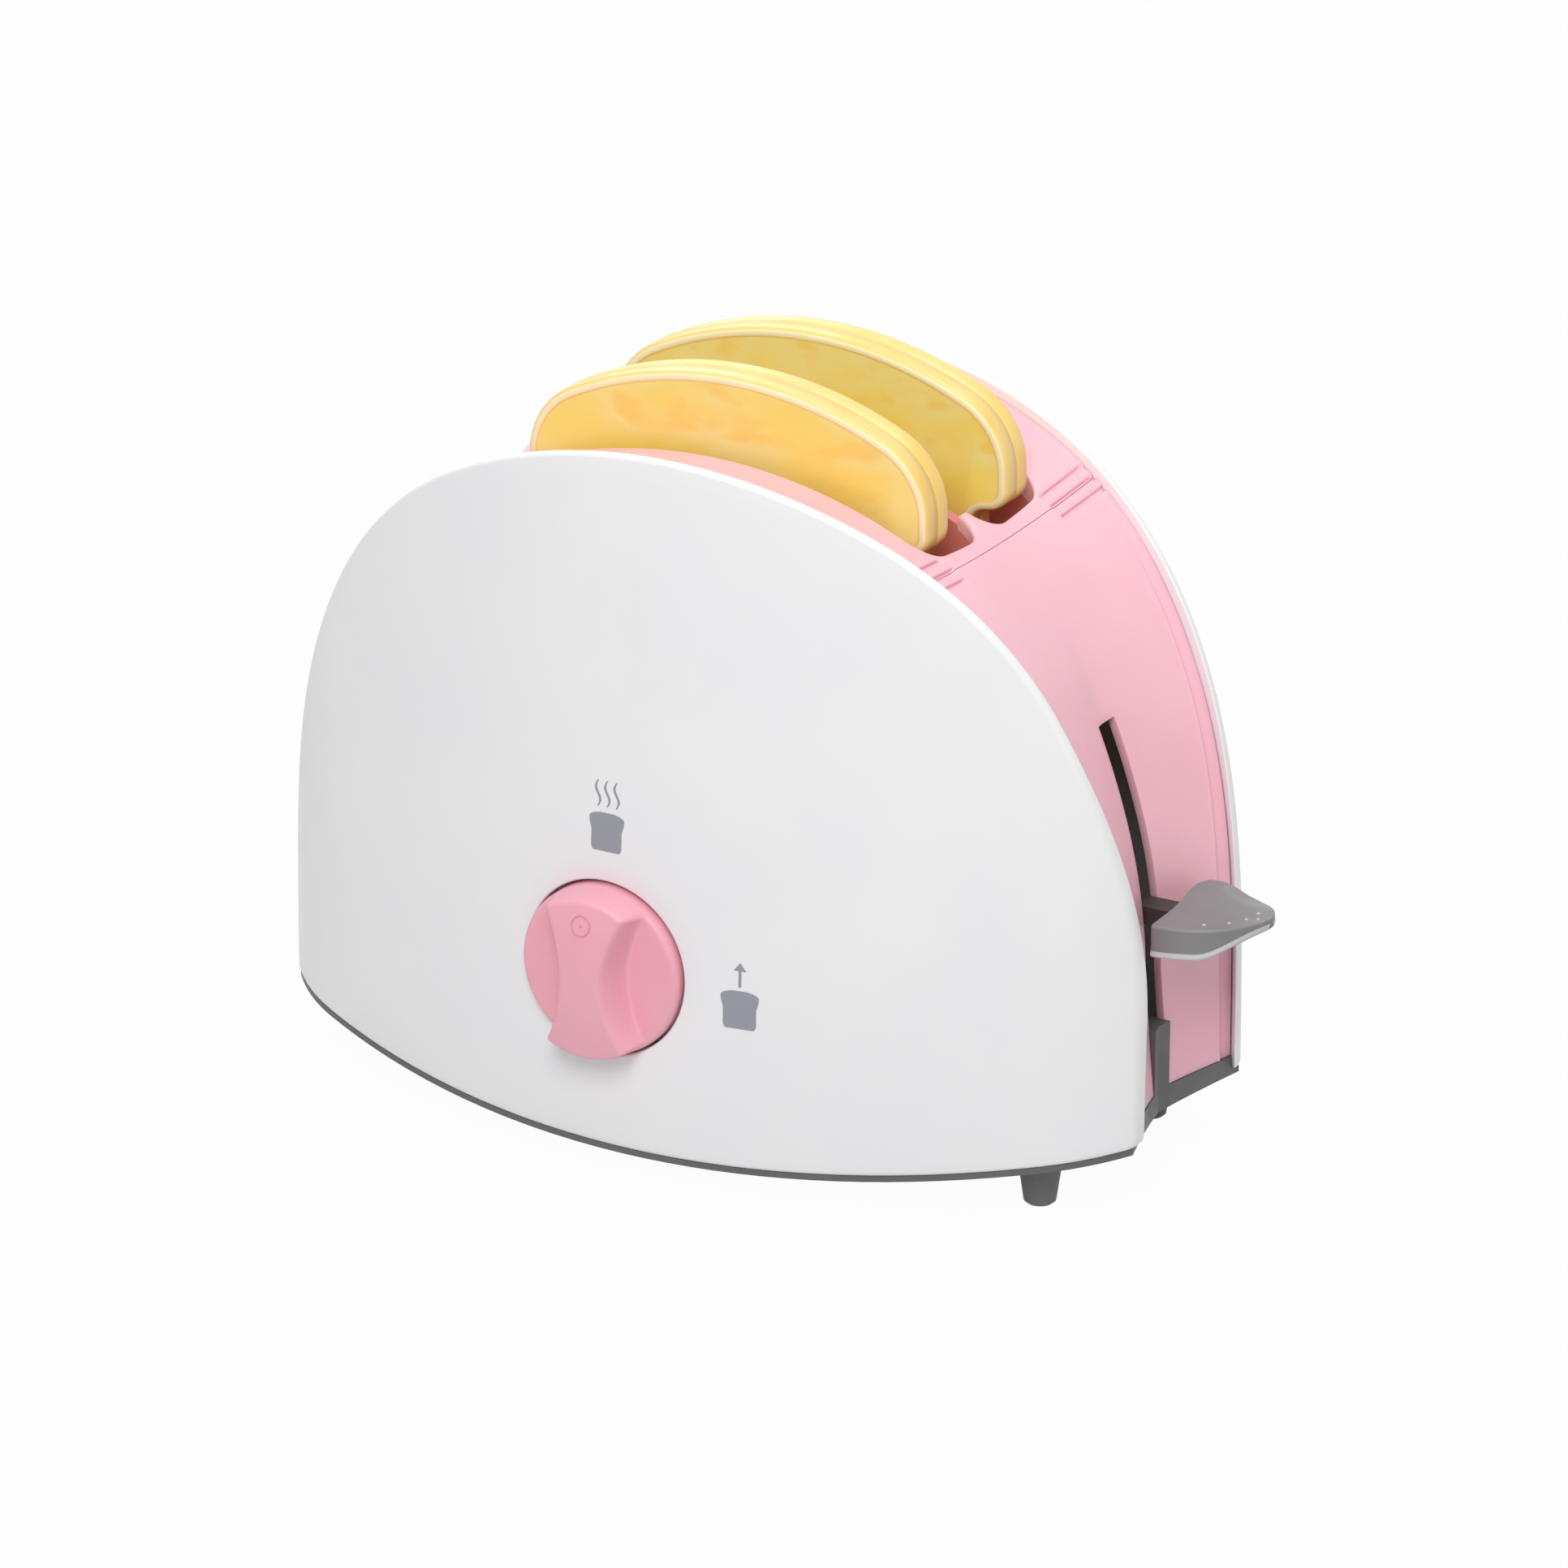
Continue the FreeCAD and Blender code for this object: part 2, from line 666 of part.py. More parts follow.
def foot(x, y):
    """A tapered foot with a peg that presses into the base."""
    top = foot_seat_z(x)
    cone = Part.makeCone(FOOT_BOTTOM_RADIUS, FOOT_TOP_RADIUS, top, Vec(x, y, 0))
    rim = [e for e in cone.Edges if abs(e.BoundBox.ZMax) < 0.01]
    cone = cone.makeChamfer(FOOT_CHAMFER, rim)
    return cone.fuse(rod(FOOT_PEG_RADIUS, (x, y, top - 0.5), (x, y, top + FOOT_PEG_LENGTH)))


def base_screws():
    """Four pan head screws from below the base into the panels' bosses."""
    head_z = screw_head_z()
    screws = []
    for x in (-SCREW_X, SCREW_X):
        for y in (-SCREW_Y, SCREW_Y):
            head = rod(SCREW_HEAD_RADIUS, (x, y, head_z - SCREW_HEAD_HEIGHT), (x, y, head_z))
            shank = rod(SCREW_RADIUS, (x, y, head_z - 0.5), (x, y, head_z + SCREW_LENGTH - 3.0))
            screws.append(head.fuse(shank))
    return Part.makeCompound(screws)


# Carriage and lever

def carriage():
    """Two trays on one plate, with guide bushes and the stem through the lever slot."""
    floor = TRAY_TOP - TRAY_THICKNESS
    reach = SLOT_HALF_LENGTH - TRAY_END_GAP
    lip_inner = TOAST_Y - TOAST_THICKNESS / 2.0 - TRAY_GAP
    lip_outer = TOAST_Y + TOAST_THICKNESS / 2.0 + TRAY_GAP
    lip = TRAY_LIP_WALL
    plate = box(-reach, reach, -lip_outer - lip, lip_outer + lip, floor, TRAY_TOP)
    window_y = lip_inner - lip - 0.5
    tie = hook_tip_x() + 1.7
    plate = plate.cut(box(-reach + TRAY_END_GAP, tie, -window_y, window_y, 0.0, FAR))
    pieces = []
    for y in (lip_inner - lip, lip_outer):
        wall = box(-reach + TRAY_END_GAP, reach - TRAY_END_GAP, y, y + lip, floor, TRAY_TOP + TRAY_LIP)
        pieces.extend((wall, mirror_y(wall)))
    pieces.append(box(reach - 2.0, ROD_X + 4.0, -ROD_Y, ROD_Y, floor, TRAY_TOP))
    for y in (-ROD_Y, ROD_Y):
        pieces.append(rod(BUSH_RADIUS, (ROD_X, y, BUSH_BOTTOM), (ROD_X, y, TRAY_TOP)))
    half = STEM_WIDTH / 2.0
    pieces.append(box(ROD_X - 8.0, ROD_X + 4.0, -half, half, STEM_BOTTOM, TRAY_TOP))
    pieces.append(box(ROD_X, PADDLE_ROOT_X + 6.0, -half, half, STEM_BOTTOM, STEM_TOP))
    pieces.append(catch_post(tie, floor))
    for piece in pieces:
        plate = plate.fuse(piece)
    for y in (-ROD_Y, ROD_Y):
        plate = plate.cut(rod(ROD_RADIUS + RUNNING_GAP, (ROD_X, y, 0.0), (ROD_X, y, FAR)))
    x, y, z = paddle_head_top()
    plate = plate.cut(rod(SCREW_RADIUS, (x, y, z), (x, y, STEM_TOP - 1.0)))
    return plate.removeSplitter()


def hook_tip_x():
    return KNOB_X + HOOK_REACH


def catch_z():
    """Top of the catch ledge at rest: just under the turned hook with the lever down."""
    return KNOB_Z - HOOK_THICKNESS / 2.0 - CATCH_GAP + TRAVEL_DOWN


def catch_post(x, top):
    """The post below the trays whose ledge the hook holds down."""
    ledge_top = catch_z()
    half = HOOK_WIDTH / 2.0
    far = x + CATCH_POST
    low = ledge_top - CATCH_THICKNESS
    post = box(x, far, -half, half, low, top)
    ledge = box(far - CATCH_REACH, far, -half, half, low, ledge_top)
    return post.fuse(ledge)


def guide_rod(y):
    return rod(ROD_RADIUS, (ROD_X, y, TABLE_GAP + ROD_SEAT_DEPTH), (ROD_X, y, ROD_TOP))


def spring(y):
    """The return spring's envelope between the base and the guide bush."""
    start = (ROD_X, y, TABLE_GAP + ROD_SEAT_HEIGHT)
    end = (ROD_X, y, BUSH_BOTTOM)
    return rod(SPRING_RADIUS, start, end).cut(rod(ROD_RADIUS + 0.5, start, end))


def paddle_outline():
    """Plan of the lever paddle: a flat root and three arcs that close in a round tip."""
    half = PADDLE_HALF_WIDTH
    root = PADDLE_ROOT_X
    length = PADDLE_TIP_X - root
    bow = (root + 0.46 * length, -0.86 * half, 0.0)
    front = [(root, -half, 0.0), bow, (root + 0.86 * length, -0.44 * half, 0.0)]
    back = [(x, -y, z) for x, y, z in front]
    edges = [arc_edge(*front), arc_edge(*back), arc_edge(front[-1], (PADDLE_TIP_X, 0.0, 0.0), back[-1])]
    edges.append(line_edge(front[0], back[0]))
    return closed_face(edges)


def paddle_profile():
    """Side view of the paddle: a finger dip, a hump and a rising underside."""
    root = PADDLE_ROOT_X
    far = PADDLE_TIP_X + 1.0
    dip = [(root, 0, PADDLE_TOP), (root + 3.0, 0, PADDLE_TOP - 0.4), (root + 6.0, 0, PADDLE_TOP)]
    hump = [dip[-1], (root + 11.0, 0, PADDLE_TOP + 0.4), (far, 0, PADDLE_TOP - 0.8)]
    under = [(root, 0, PADDLE_BOTTOM), (root + 11.0, 0, PADDLE_BOTTOM + 0.5), (far, 0, PADDLE_BOTTOM + 4.6)]
    edges = [arc_edge(*points) for points in (dip, hump, under)]
    edges.append(line_edge(dip[0], under[0]))
    edges.append(line_edge(hump[-1], under[-1]))
    return closed_face(edges)


def lever_paddle():
    """The grey paddle on the end of the stem."""
    body = paddle_outline().extrude(Vec(0, 0, FAR / 4.0))
    side = paddle_profile()
    side.translate(Vec(0, -FAR / 4.0, 0))
    body = body.common(side.extrude(Vec(0, FAR / 2.0, 0)))
    half = STEM_WIDTH / 2.0
    socket = box(0.0, PADDLE_ROOT_X + 6.0, -half, half, STEM_BOTTOM, STEM_TOP)
    x, y, z = paddle_head_top()
    screw = rod(SCREW_RADIUS, (x, y, 0), (x, y, STEM_BOTTOM))
    head = rod(SCREW_HEAD_RADIUS + FIT_GAP, (x, y, 0), (x, y, z))
    return body.cut(socket).cut(screw).cut(head)


def paddle_head_top():
    return (PADDLE_ROOT_X + 3.0, 0, PADDLE_BOTTOM + PADDLE_HEAD_DEPTH)


def paddle_screw():
    x, y, z = paddle_head_top()
    head = rod(SCREW_HEAD_RADIUS, (x, y, z - 1.0), (x, y, z))
    return head.fuse(rod(SCREW_RADIUS, (x, y, z - 0.5), (x, y, STEM_TOP - 1.0)))


# Knob, shaft and latch

def knob():
    """Disc with a waisted, arched grip bar across it."""
    face_y = KNOB_FLOOR_Y - KNOB_DEPTH
    disc = rod(KNOB_RADIUS, (KNOB_X, KNOB_FLOOR_Y, KNOB_Z), (KNOB_X, face_y, KNOB_Z))
    rim = [e for e in disc.Edges if abs(e.BoundBox.YMin - face_y) < 0.01 and e.BoundBox.YLength < 0.01]
    disc = disc.makeChamfer(KNOB_CHAMFER, rim)
    half = GRIP_WIDTH / 2.0
    bar = box(KNOB_X - half, KNOB_X + half, face_y - GRIP_RISE, face_y + 2.0,
              KNOB_Z - KNOB_RADIUS, KNOB_Z + KNOB_RADIUS)
    bar = bar.common(grip_arch(face_y))
    for side in (-1, 1):
        bar = bar.cut(grip_scoop(side, face_y))
    outer = rod(KNOB_RADIUS - 0.4, (KNOB_X, face_y - FAR / 8, KNOB_Z), (KNOB_X, face_y + 3.0, KNOB_Z))
    bar = bar.common(outer)
    bore = rod(SHAFT_RADIUS, (KNOB_X, face_y - 2.0, KNOB_Z), (KNOB_X, KNOB_FLOOR_Y + 1.0, KNOB_Z))
    return disc.fuse(bar).cut(bore)


def grip_arch(face_y):
    """A drum across the knob whose round gives the bar its arched top."""
    half = KNOB_RADIUS
    low = GRIP_RISE - 2.5
    radius = (half ** 2 + low ** 2) / (2.0 * low)
    centre_y = face_y - GRIP_RISE + radius
    return rod(radius, (KNOB_X - 20.0, centre_y, KNOB_Z), (KNOB_X + 20.0, centre_y, KNOB_Z))


def grip_scoop(side, face_y):
    """Hollows one side of the bar so a finger can turn it."""
    x = KNOB_X + side * (GRIP_WIDTH / 2.0 - GRIP_BITE + GRIP_SCOOP)
    return rod(GRIP_SCOOP, (x, face_y - 20.0, KNOB_Z), (x, face_y, KNOB_Z))


def knob_shaft():
    """Shaft from inside the knob to past the hook, with a groove for its clip."""
    face_y = KNOB_FLOOR_Y - KNOB_DEPTH
    shaft = rod(SHAFT_RADIUS, (KNOB_X, face_y - 2.0, KNOB_Z), (KNOB_X, SHAFT_END_Y, KNOB_Z))
    y0, y1 = clip_span()
    groove = rod(SHAFT_RADIUS + 1.0, (KNOB_X, y0, KNOB_Z), (KNOB_X, y1, KNOB_Z))
    core = rod(SHAFT_RADIUS - CLIP_GROOVE, (KNOB_X, y0, KNOB_Z), (KNOB_X, y1, KNOB_Z))
    return shaft.cut(groove.cut(core))


def clip_span():
    start = KNOB_FLOOR_Y + FIT_GAP + PANEL_WALL + CLIP_GAP
    return start, start + CLIP_THICKNESS


def shaft_clip():
    """Open ring in the shaft's groove behind the panel's bearing."""
    y0, y1 = clip_span()
    outer = SHAFT_RADIUS + CLIP_PROUD
    ring = rod(outer, (KNOB_X, y0, KNOB_Z), (KNOB_X, y1, KNOB_Z))
    core = rod(SHAFT_RADIUS - CLIP_GROOVE, (KNOB_X, y0, KNOB_Z), (KNOB_X, y1, KNOB_Z))
    half = CLIP_MOUTH / 2.0
    mouth = box(KNOB_X - half, KNOB_X + half, y0, y1, KNOB_Z - 2.0 * outer, KNOB_Z)
    return ring.cut(core).cut(mouth)


def latch_hook():
    """Hub and arm on the shaft; the arm points up until the knob is turned."""
    half = HOOK_THICKNESS / 2.0
    side = HOOK_WIDTH / 2.0
    hub = rod(SHAFT_RADIUS + HUB_WALL, (KNOB_X, -side, KNOB_Z), (KNOB_X, side, KNOB_Z))
    arm = box(KNOB_X - half, KNOB_X + half, -side, side, KNOB_Z, KNOB_Z + HOOK_REACH)
    bore = rod(SHAFT_RADIUS, (KNOB_X, -HOOK_WIDTH, KNOB_Z), (KNOB_X, HOOK_WIDTH, KNOB_Z))
    return hub.fuse(arm).cut(bore)


def shaft_bracket():
    """Post on the base that carries the inner end of the knob's shaft."""
    radius = SHAFT_RADIUS + BRACKET_WALL
    front = BRACKET_Y - BRACKET_DEPTH
    post = box(KNOB_X - radius, KNOB_X + radius, front, BRACKET_Y, TABLE_GAP, KNOB_Z)
    post = post.fuse(rod(radius, (KNOB_X, front, KNOB_Z), (KNOB_X, BRACKET_Y, KNOB_Z)))
    flange_top = TABLE_GAP + BASE_PLATE + FLANGE_THICKNESS
    left, right = KNOB_X - FLANGE_HALF_LENGTH, KNOB_X + FLANGE_HALF_LENGTH
    flange = box(left, right, front - FLANGE_REACH, BRACKET_Y + FLANGE_REACH, TABLE_GAP, flange_top)
    bore = rod(SHAFT_RADIUS + RUNNING_GAP, (KNOB_X, front - 1.0, KNOB_Z), (KNOB_X, BRACKET_Y + 1.0, KNOB_Z))
    return post.fuse(flange).cut(bore).common(rocker(-BASE_PLATE))


# Toast

def toast_edges(inset, y):
    """Outline of a slice, set in by inset: flat foot, waist, round crown."""
    base_z = TRAY_TOP + inset
    half = TOAST_HALF_WIDTH - inset
    waist = TOAST_WAIST - inset
    corner = TOAST_CORNER - inset
    neck = TOAST_NECK + inset
    lower = TOAST_HALF_WIDTH - TOAST_WAIST - TOAST_NECK - inset
    shoulder = TOAST_SHOULDER - inset
    top_radius = TOAST_TOP_RADIUS - inset
    top_z = TRAY_TOP + TOAST_HEIGHT - inset
    shoulder_x = TOAST_HALF_WIDTH - TOAST_SHOULDER
    tilt = math.asin(shoulder_x / (TOAST_TOP_RADIUS - TOAST_SHOULDER))
    shoulder_z = top_z + inset - TOAST_TOP_RADIUS + (TOAST_TOP_RADIUS - TOAST_SHOULDER) * math.cos(tilt)
    lower_x = TOAST_WAIST + TOAST_NECK
    lower_z = shoulder_z - TOAST_NECK_DROP

    def turn(cx, cz, radius, a, b):
        angles = [math.radians(v) for v in (a, (a + b) / 2.0, b)]
        return [(cx + radius * math.sin(t), cz + radius * math.cos(t)) for t in angles]

    lean = math.degrees(tilt)
    neck_z = lower_z - (lower + inset) - TOAST_NECK
    arcs = [
        turn(0.0, top_z + inset - TOAST_TOP_RADIUS, top_radius, 0.0, lean),
        turn(shoulder_x, shoulder_z, shoulder, lean, 90.0),
        turn(lower_x, lower_z, lower, 90.0, 180.0),
        turn(lower_x, neck_z, neck, 0.0, -90.0),
        turn(waist - corner, base_z + corner, corner, 90.0, 180.0),
    ]
    edges = []
    for side in (1, -1):
        for points in arcs:
            edges.append(arc_edge(*[(side * x, y, z) for x, z in points]))
        for a, b in ((arcs[1][2], arcs[2][0]), (arcs[3][2], arcs[4][0])):
            edges.append(line_edge((side * a[0], y, a[1]), (side * b[0], y, b[1])))
    foot_x = waist - corner
    edges.append(line_edge((-foot_x, y, base_z), (foot_x, y, base_z)))
    return edges


def toast_half():
    """The front half shell of a slice, hollow and closed at its face, parting at y = 0."""
    depth = TOAST_THICKNESS / 2.0
    solid = closed_face(toast_edges(0.0, -depth)).extrude(Vec(0, depth, 0))
    face_edges = [e for e in solid.Edges if e.BoundBox.YMax < -depth + 0.01]
    solid = solid.makeChamfer(TOAST_EDGE, face_edges)
    hollow = closed_face(toast_edges(TOAST_WALL, -depth + TOAST_WALL)).extrude(Vec(0, depth, 0))
    shell = solid.cut(hollow)
    peg_z = TRAY_TOP + TOAST_HEIGHT / 2.0
    for x in (-TOAST_PEG_X, TOAST_PEG_X):
        shell = shell.fuse(rod(TOAST_PEG_RADIUS, (x, -depth + TOAST_WALL / 2.0, peg_z), (x, 0.0, peg_z)))
    return shell


def place_toast(shape, shift, y):
    placed = shape.copy()
    placed.translate(Vec(shift, y, 0))
    return placed


# Export

def build():
    parts = {
        "front_panel": front_panel(),
        "rear_panel": rear_panel(),
        "top_cover": top_cover(),
        "lever_end_cover": lever_end_cover(),
        "plain_end_cover": plain_end(),
        "bread_well": bread_well(),
        "base": base(),
        "base_screws": base_screws(),
        "carriage": carriage(),
        "lever_paddle": lever_paddle(),
        "paddle_screw": paddle_screw(),
        "knob": knob(),
        "knob_shaft": knob_shaft(),
        "shaft_clip": shaft_clip(),
        "latch_hook": latch_hook(),
        "shaft_bracket": shaft_bracket(),
    }
    for name, y in (("front", -ROD_Y), ("rear", ROD_Y)):
        parts["guide_rod_" + name] = guide_rod(y)
        parts["spring_" + name] = spring(y)
    for end, x in (("right", FOOT_X), ("left", -FOOT_LEFT_X)):
        for name, y in (("front", -FOOT_Y), ("rear", FOOT_Y)):
            parts["foot_" + name + "_" + end] = foot(x, y)
    half = toast_half()
    for name, y, shift in (("front", -TOAST_Y, TOAST_SHIFTS[0]), ("rear", TOAST_Y, TOAST_SHIFTS[1])):
        parts["toast_" + name + "_a"] = place_toast(half, shift, y)
        parts["toast_" + name + "_b"] = place_toast(mirror_y(half), shift, y)
    return parts


grip_front_y = KNOB_FLOOR_Y - KNOB_DEPTH - GRIP_RISE
middle = Vec((PADDLE_TIP_X - HALF) / 2.0, (grip_front_y - FRONT_Y) / 2.0, 0)

for node, shape in build().items():
    shape.translate(middle * -1.0)
    shape.exportStep("parts/" + node + ".step")
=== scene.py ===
import math

import bmesh
import bpy
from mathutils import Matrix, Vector
from mathutils.geometry import delaunay_2d_cdt

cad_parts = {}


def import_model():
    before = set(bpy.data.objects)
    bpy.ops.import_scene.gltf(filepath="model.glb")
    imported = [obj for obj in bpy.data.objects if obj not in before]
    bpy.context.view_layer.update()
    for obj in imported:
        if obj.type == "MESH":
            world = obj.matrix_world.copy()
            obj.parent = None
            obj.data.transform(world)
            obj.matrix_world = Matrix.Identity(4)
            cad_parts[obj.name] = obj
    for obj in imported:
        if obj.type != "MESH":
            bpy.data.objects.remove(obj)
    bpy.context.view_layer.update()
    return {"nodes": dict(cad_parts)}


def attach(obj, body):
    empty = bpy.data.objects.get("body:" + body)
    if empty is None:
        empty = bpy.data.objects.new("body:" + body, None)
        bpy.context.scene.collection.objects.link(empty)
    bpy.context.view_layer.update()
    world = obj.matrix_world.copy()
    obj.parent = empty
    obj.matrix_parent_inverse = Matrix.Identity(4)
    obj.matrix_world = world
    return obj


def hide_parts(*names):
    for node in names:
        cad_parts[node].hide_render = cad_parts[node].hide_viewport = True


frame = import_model()

# Sizes in millimetres about the middle of the body, as in the part's source

HALF = 100.0
GAP = 6.0
RISE = 147.0
TOP_Z = GAP + RISE
FRONT_Y = -55.2
MIDDLE = (8.75, -4.657, 0.0)
CROWN_R, CROWN_TURN = 110.0, math.radians(26.5)
SHOULDER_R, SHOULDER_TURN = 80.0, math.radians(62.2)
BULGE_R, BULGE_REACH, CORNER_R = 200.0, 85.0, 41.0
LEAN = 9.4
ROCKER_RISE = 9.8
WALL = 2.0
STEP, CROWN_SAG, WING_SAG, FOOT_SAG = 2.0, 4.2, 7.8, 5.2
CREASE_TURN, CREASE_SHARE = math.radians(74.0), 0.8
SEAM_X, SEAM_GAP = 58.6, 0.13
GROOVE_PITCH, GROOVE_DEPTH, GROOVE_Y = 3.3, 0.8, 21.5
SLOT_X, SLOT_IN, SLOT_OUT, SLOT_R, NOSE_X = 51.8, 1.5, 25.2, 6.0, 46.0
BAND_TOP = 18.3
KNOB = (-7.2, 44.9)
KNOB_R = 18.2
CUP_R = 18.8
KNOB_DEPTH = 7.6
KNOB_PROUD = 1.8
SLOT_HALF, LEVER_TOP = 3.5, 96.5

# Finer sizes that only the looks need

RIM_SOFT, RIM_INNER_SOFT = 0.9, 0.35
RIM_CORNER_R = 2.0
BORE_R = 3.1
CUP_EDGE, CUP_SOFT, CUP_CLEAR = 0.5, 0.3, 0.15
CREASE_SOFT = 0.9
STRIP, STRIP_DROP, STRIP_RIDGE = 3.4, 0.5, 0.12
GROOVE_SOFT = 0.35
GROOVE_ROWS = (
    (-0.95, 0.0), (-0.78, 0.06), (-0.64, 0.45), (-0.5, 1.0),
    (0.5, 1.0), (0.64, 0.45), (0.78, 0.06), (0.95, 0.0),
)
LIP, LIP_FOOT = 0.85, 3.2
CDT_SCALE = 95.0

CROWN_C = (0.0, TOP_Z - CROWN_R)
SHOULDER_C = (
    (CROWN_R - SHOULDER_R) * math.sin(CROWN_TURN),
    CROWN_C[1] + (CROWN_R - SHOULDER_R) * math.cos(CROWN_TURN),
)
FLANK_R = (HALF - SHOULDER_C[0] - SHOULDER_R * math.sin(SHOULDER_TURN)) / (
    1.0 - math.sin(SHOULDER_TURN)
)
FLANK_C = (HALF - FLANK_R, SHOULDER_C[1] + (SHOULDER_R - FLANK_R) * math.cos(SHOULDER_TURN))
BULGE_CY = FRONT_Y + BULGE_R
BULGE_TURN = math.asin(BULGE_REACH / BULGE_R)
CORNER_X = BULGE_REACH - CORNER_R * math.sin(BULGE_TURN)
CORNER_Y = BULGE_CY - (BULGE_R - CORNER_R) * math.cos(BULGE_TURN)
LEAN_R = (RISE ** 2 + LEAN ** 2) / (2.0 * LEAN)
LEAN_CY = FRONT_Y + LEAN_R
ROCKER_R = (HALF ** 2 + ROCKER_RISE ** 2) / (2.0 * ROCKER_RISE)
SEAM_TURN = math.asin((SEAM_X - SHOULDER_C[0]) / SHOULDER_R)


def to_frame(p):
    """A point about the body's middle, in mm, as metres in the frame."""
    return tuple((p[i] - MIDDLE[i]) / 1000.0 for i in range(3))


def arch_point(turn, inset=0.0):
    """A point of the panels' elevation at a turn from upright, at an inset from it."""
    if turn <= CROWN_TURN:
        centre, radius = CROWN_C, CROWN_R
    elif turn <= SHOULDER_TURN:
        centre, radius = SHOULDER_C, SHOULDER_R
    else:
        centre, radius = FLANK_C, FLANK_R
    reach = radius - inset
    return centre[0] + reach * math.sin(turn), centre[1] + reach * math.cos(turn)


def plan_y(x, inset):
    """Front shell's y at the level of its foot, at an inset from its outer face."""
    x = abs(x)
    if x <= (BULGE_R - inset) * math.sin(BULGE_TURN):
        return BULGE_CY - math.sqrt((BULGE_R - inset) ** 2 - x ** 2)
    return CORNER_Y - math.sqrt(max((CORNER_R - inset) ** 2 - (x - CORNER_X) ** 2, 1.0))


def face_y(x, z, inset):
    """Front shell's y at a point of its elevation, at an inset from its outer face."""
    reach = LEAN_CY - plan_y(x, inset)
    return LEAN_CY - math.sqrt(reach ** 2 - (z - GAP) ** 2)


def rocker_z(x):
    return GAP + ROCKER_R - math.sqrt(ROCKER_R ** 2 - x ** 2)


def lean_at(z):
    return LEAN_R - math.sqrt(LEAN_R ** 2 - (z - GAP) ** 2)


def full_turn(count):
    return [2.0 * math.pi * k / count for k in range(count)]


def smooth(value, low, high):
    share = min(max((value - low) / (high - low), 0.0), 1.0)
    return share * share * (3.0 - 2.0 * share)


def new_piece(name, points, faces, material, body, nodes=(), sharp=35.0):
    """A smooth-shaded mesh on a body, in place of the CAD nodes that are named."""
    mesh = bpy.data.meshes.new(name)
    mesh.from_pydata([to_frame(p) for p in points], [], faces)
    mesh.validate()
    piece = bpy.data.objects.new(name, mesh)
    bpy.context.scene.collection.objects.link(piece)
    mesh.materials.append(material)
    mesh.shade_smooth()
    if sharp:
        mesh.set_sharp_from_angle(angle=math.radians(sharp))
    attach(piece, body)
    if nodes:
        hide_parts(*nodes)
    return piece


def rings_mesh(rings, close_rings=False, cap_first=False, cap_last=False):
    """Points and faces of a skin through closed rings of equal count."""
    count = len(rings[0])
    points = [p for ring in rings for p in ring]
    faces = []
    last = len(rings) if close_rings else len(rings) - 1
    for i in range(last):
        a = i * count
        b = ((i + 1) % len(rings)) * count
        for j in range(count):
            k = (j + 1) % count
            faces.append((a + j, a + k, b + k, b + j))
    if cap_first:
        faces.append(tuple(range(count - 1, -1, -1)))
    if cap_last:
        base = (len(rings) - 1) * count
        faces.append(tuple(range(base, base + count)))
    return points, faces


def add_modifier(piece, kind, **values):
    mod = piece.modifiers.new(kind.lower(), kind)
    for key, value in values.items():
        setattr(mod, key, value)
    return mod


# Materials

def lin(r, g, b):
    """A display colour, 0 to 255, as the linear colour that a shader takes."""
    def one(v):
        v = v / 255.0
        return v / 12.92 if v <= 0.04045 else ((v + 0.055) / 1.055) ** 2.4
    return (one(r), one(g), one(b), 1.0)


class Nodes:
    """Small helper for building a material's node tree."""

    def __init__(self, name):
        self.material = bpy.data.materials.new(name)
        self.material.use_nodes = True
        self.tree = self.material.node_tree
        self.shader = self.tree.nodes["Principled BSDF"]

    def add(self, kind, **inputs):
        node = self.tree.nodes.new(kind)
        for key, value in inputs.items():
            if hasattr(node, key):
                setattr(node, key, value)
            else:
                node.inputs[key].default_value = value
        return node

    def link(self, a, b):
        self.tree.links.new(a, b)

    def set(self, **values):
        for key, value in values.items():
            self.shader.inputs[key.replace("_", " ")].default_value = value

    def place(self):
        return self.add("ShaderNodeTexCoord").outputs["Object"]

    def noise(self, scale, detail=3.0, vector=None):
        node = self.add("ShaderNodeTexNoise", Scale=scale, Detail=detail)
        self.link(vector or self.place(), node.inputs["Vector"])
        return node.outputs["Fac"]

    def spread(self, value, low, high, a=0.35, b=0.65):
        node = self.add("ShaderNodeMapRange")
        node.inputs["From Min"].default_value = a
        node.inputs["From Max"].default_value = b
        node.inputs["To Min"].default_value = low
        node.inputs["To Max"].default_value = high
        self.link(value, node.inputs["Value"])
        return node.outputs["Result"]

    def mix(self, factor, a, b):
        node = self.add("ShaderNodeMix")
        node.data_type = "RGBA"
        self.link(factor, node.inputs["Factor"])
        for socket, value in (("A", a), ("B", b)):
            found = [s for s in node.inputs if s.name == socket and s.type == "RGBA"][0]
            if hasattr(value, "is_output"):
                self.link(value, found)
            else:
                found.default_value = value
        return [s for s in node.outputs if s.type == "RGBA"][0]

    def bump(self, height, strength, distance):
        node = self.add("ShaderNodeBump", Strength=strength, Distance=distance)
        self.link(height, node.inputs["Height"])
        self.link(node.outputs["Normal"], self.shader.inputs["Normal"])


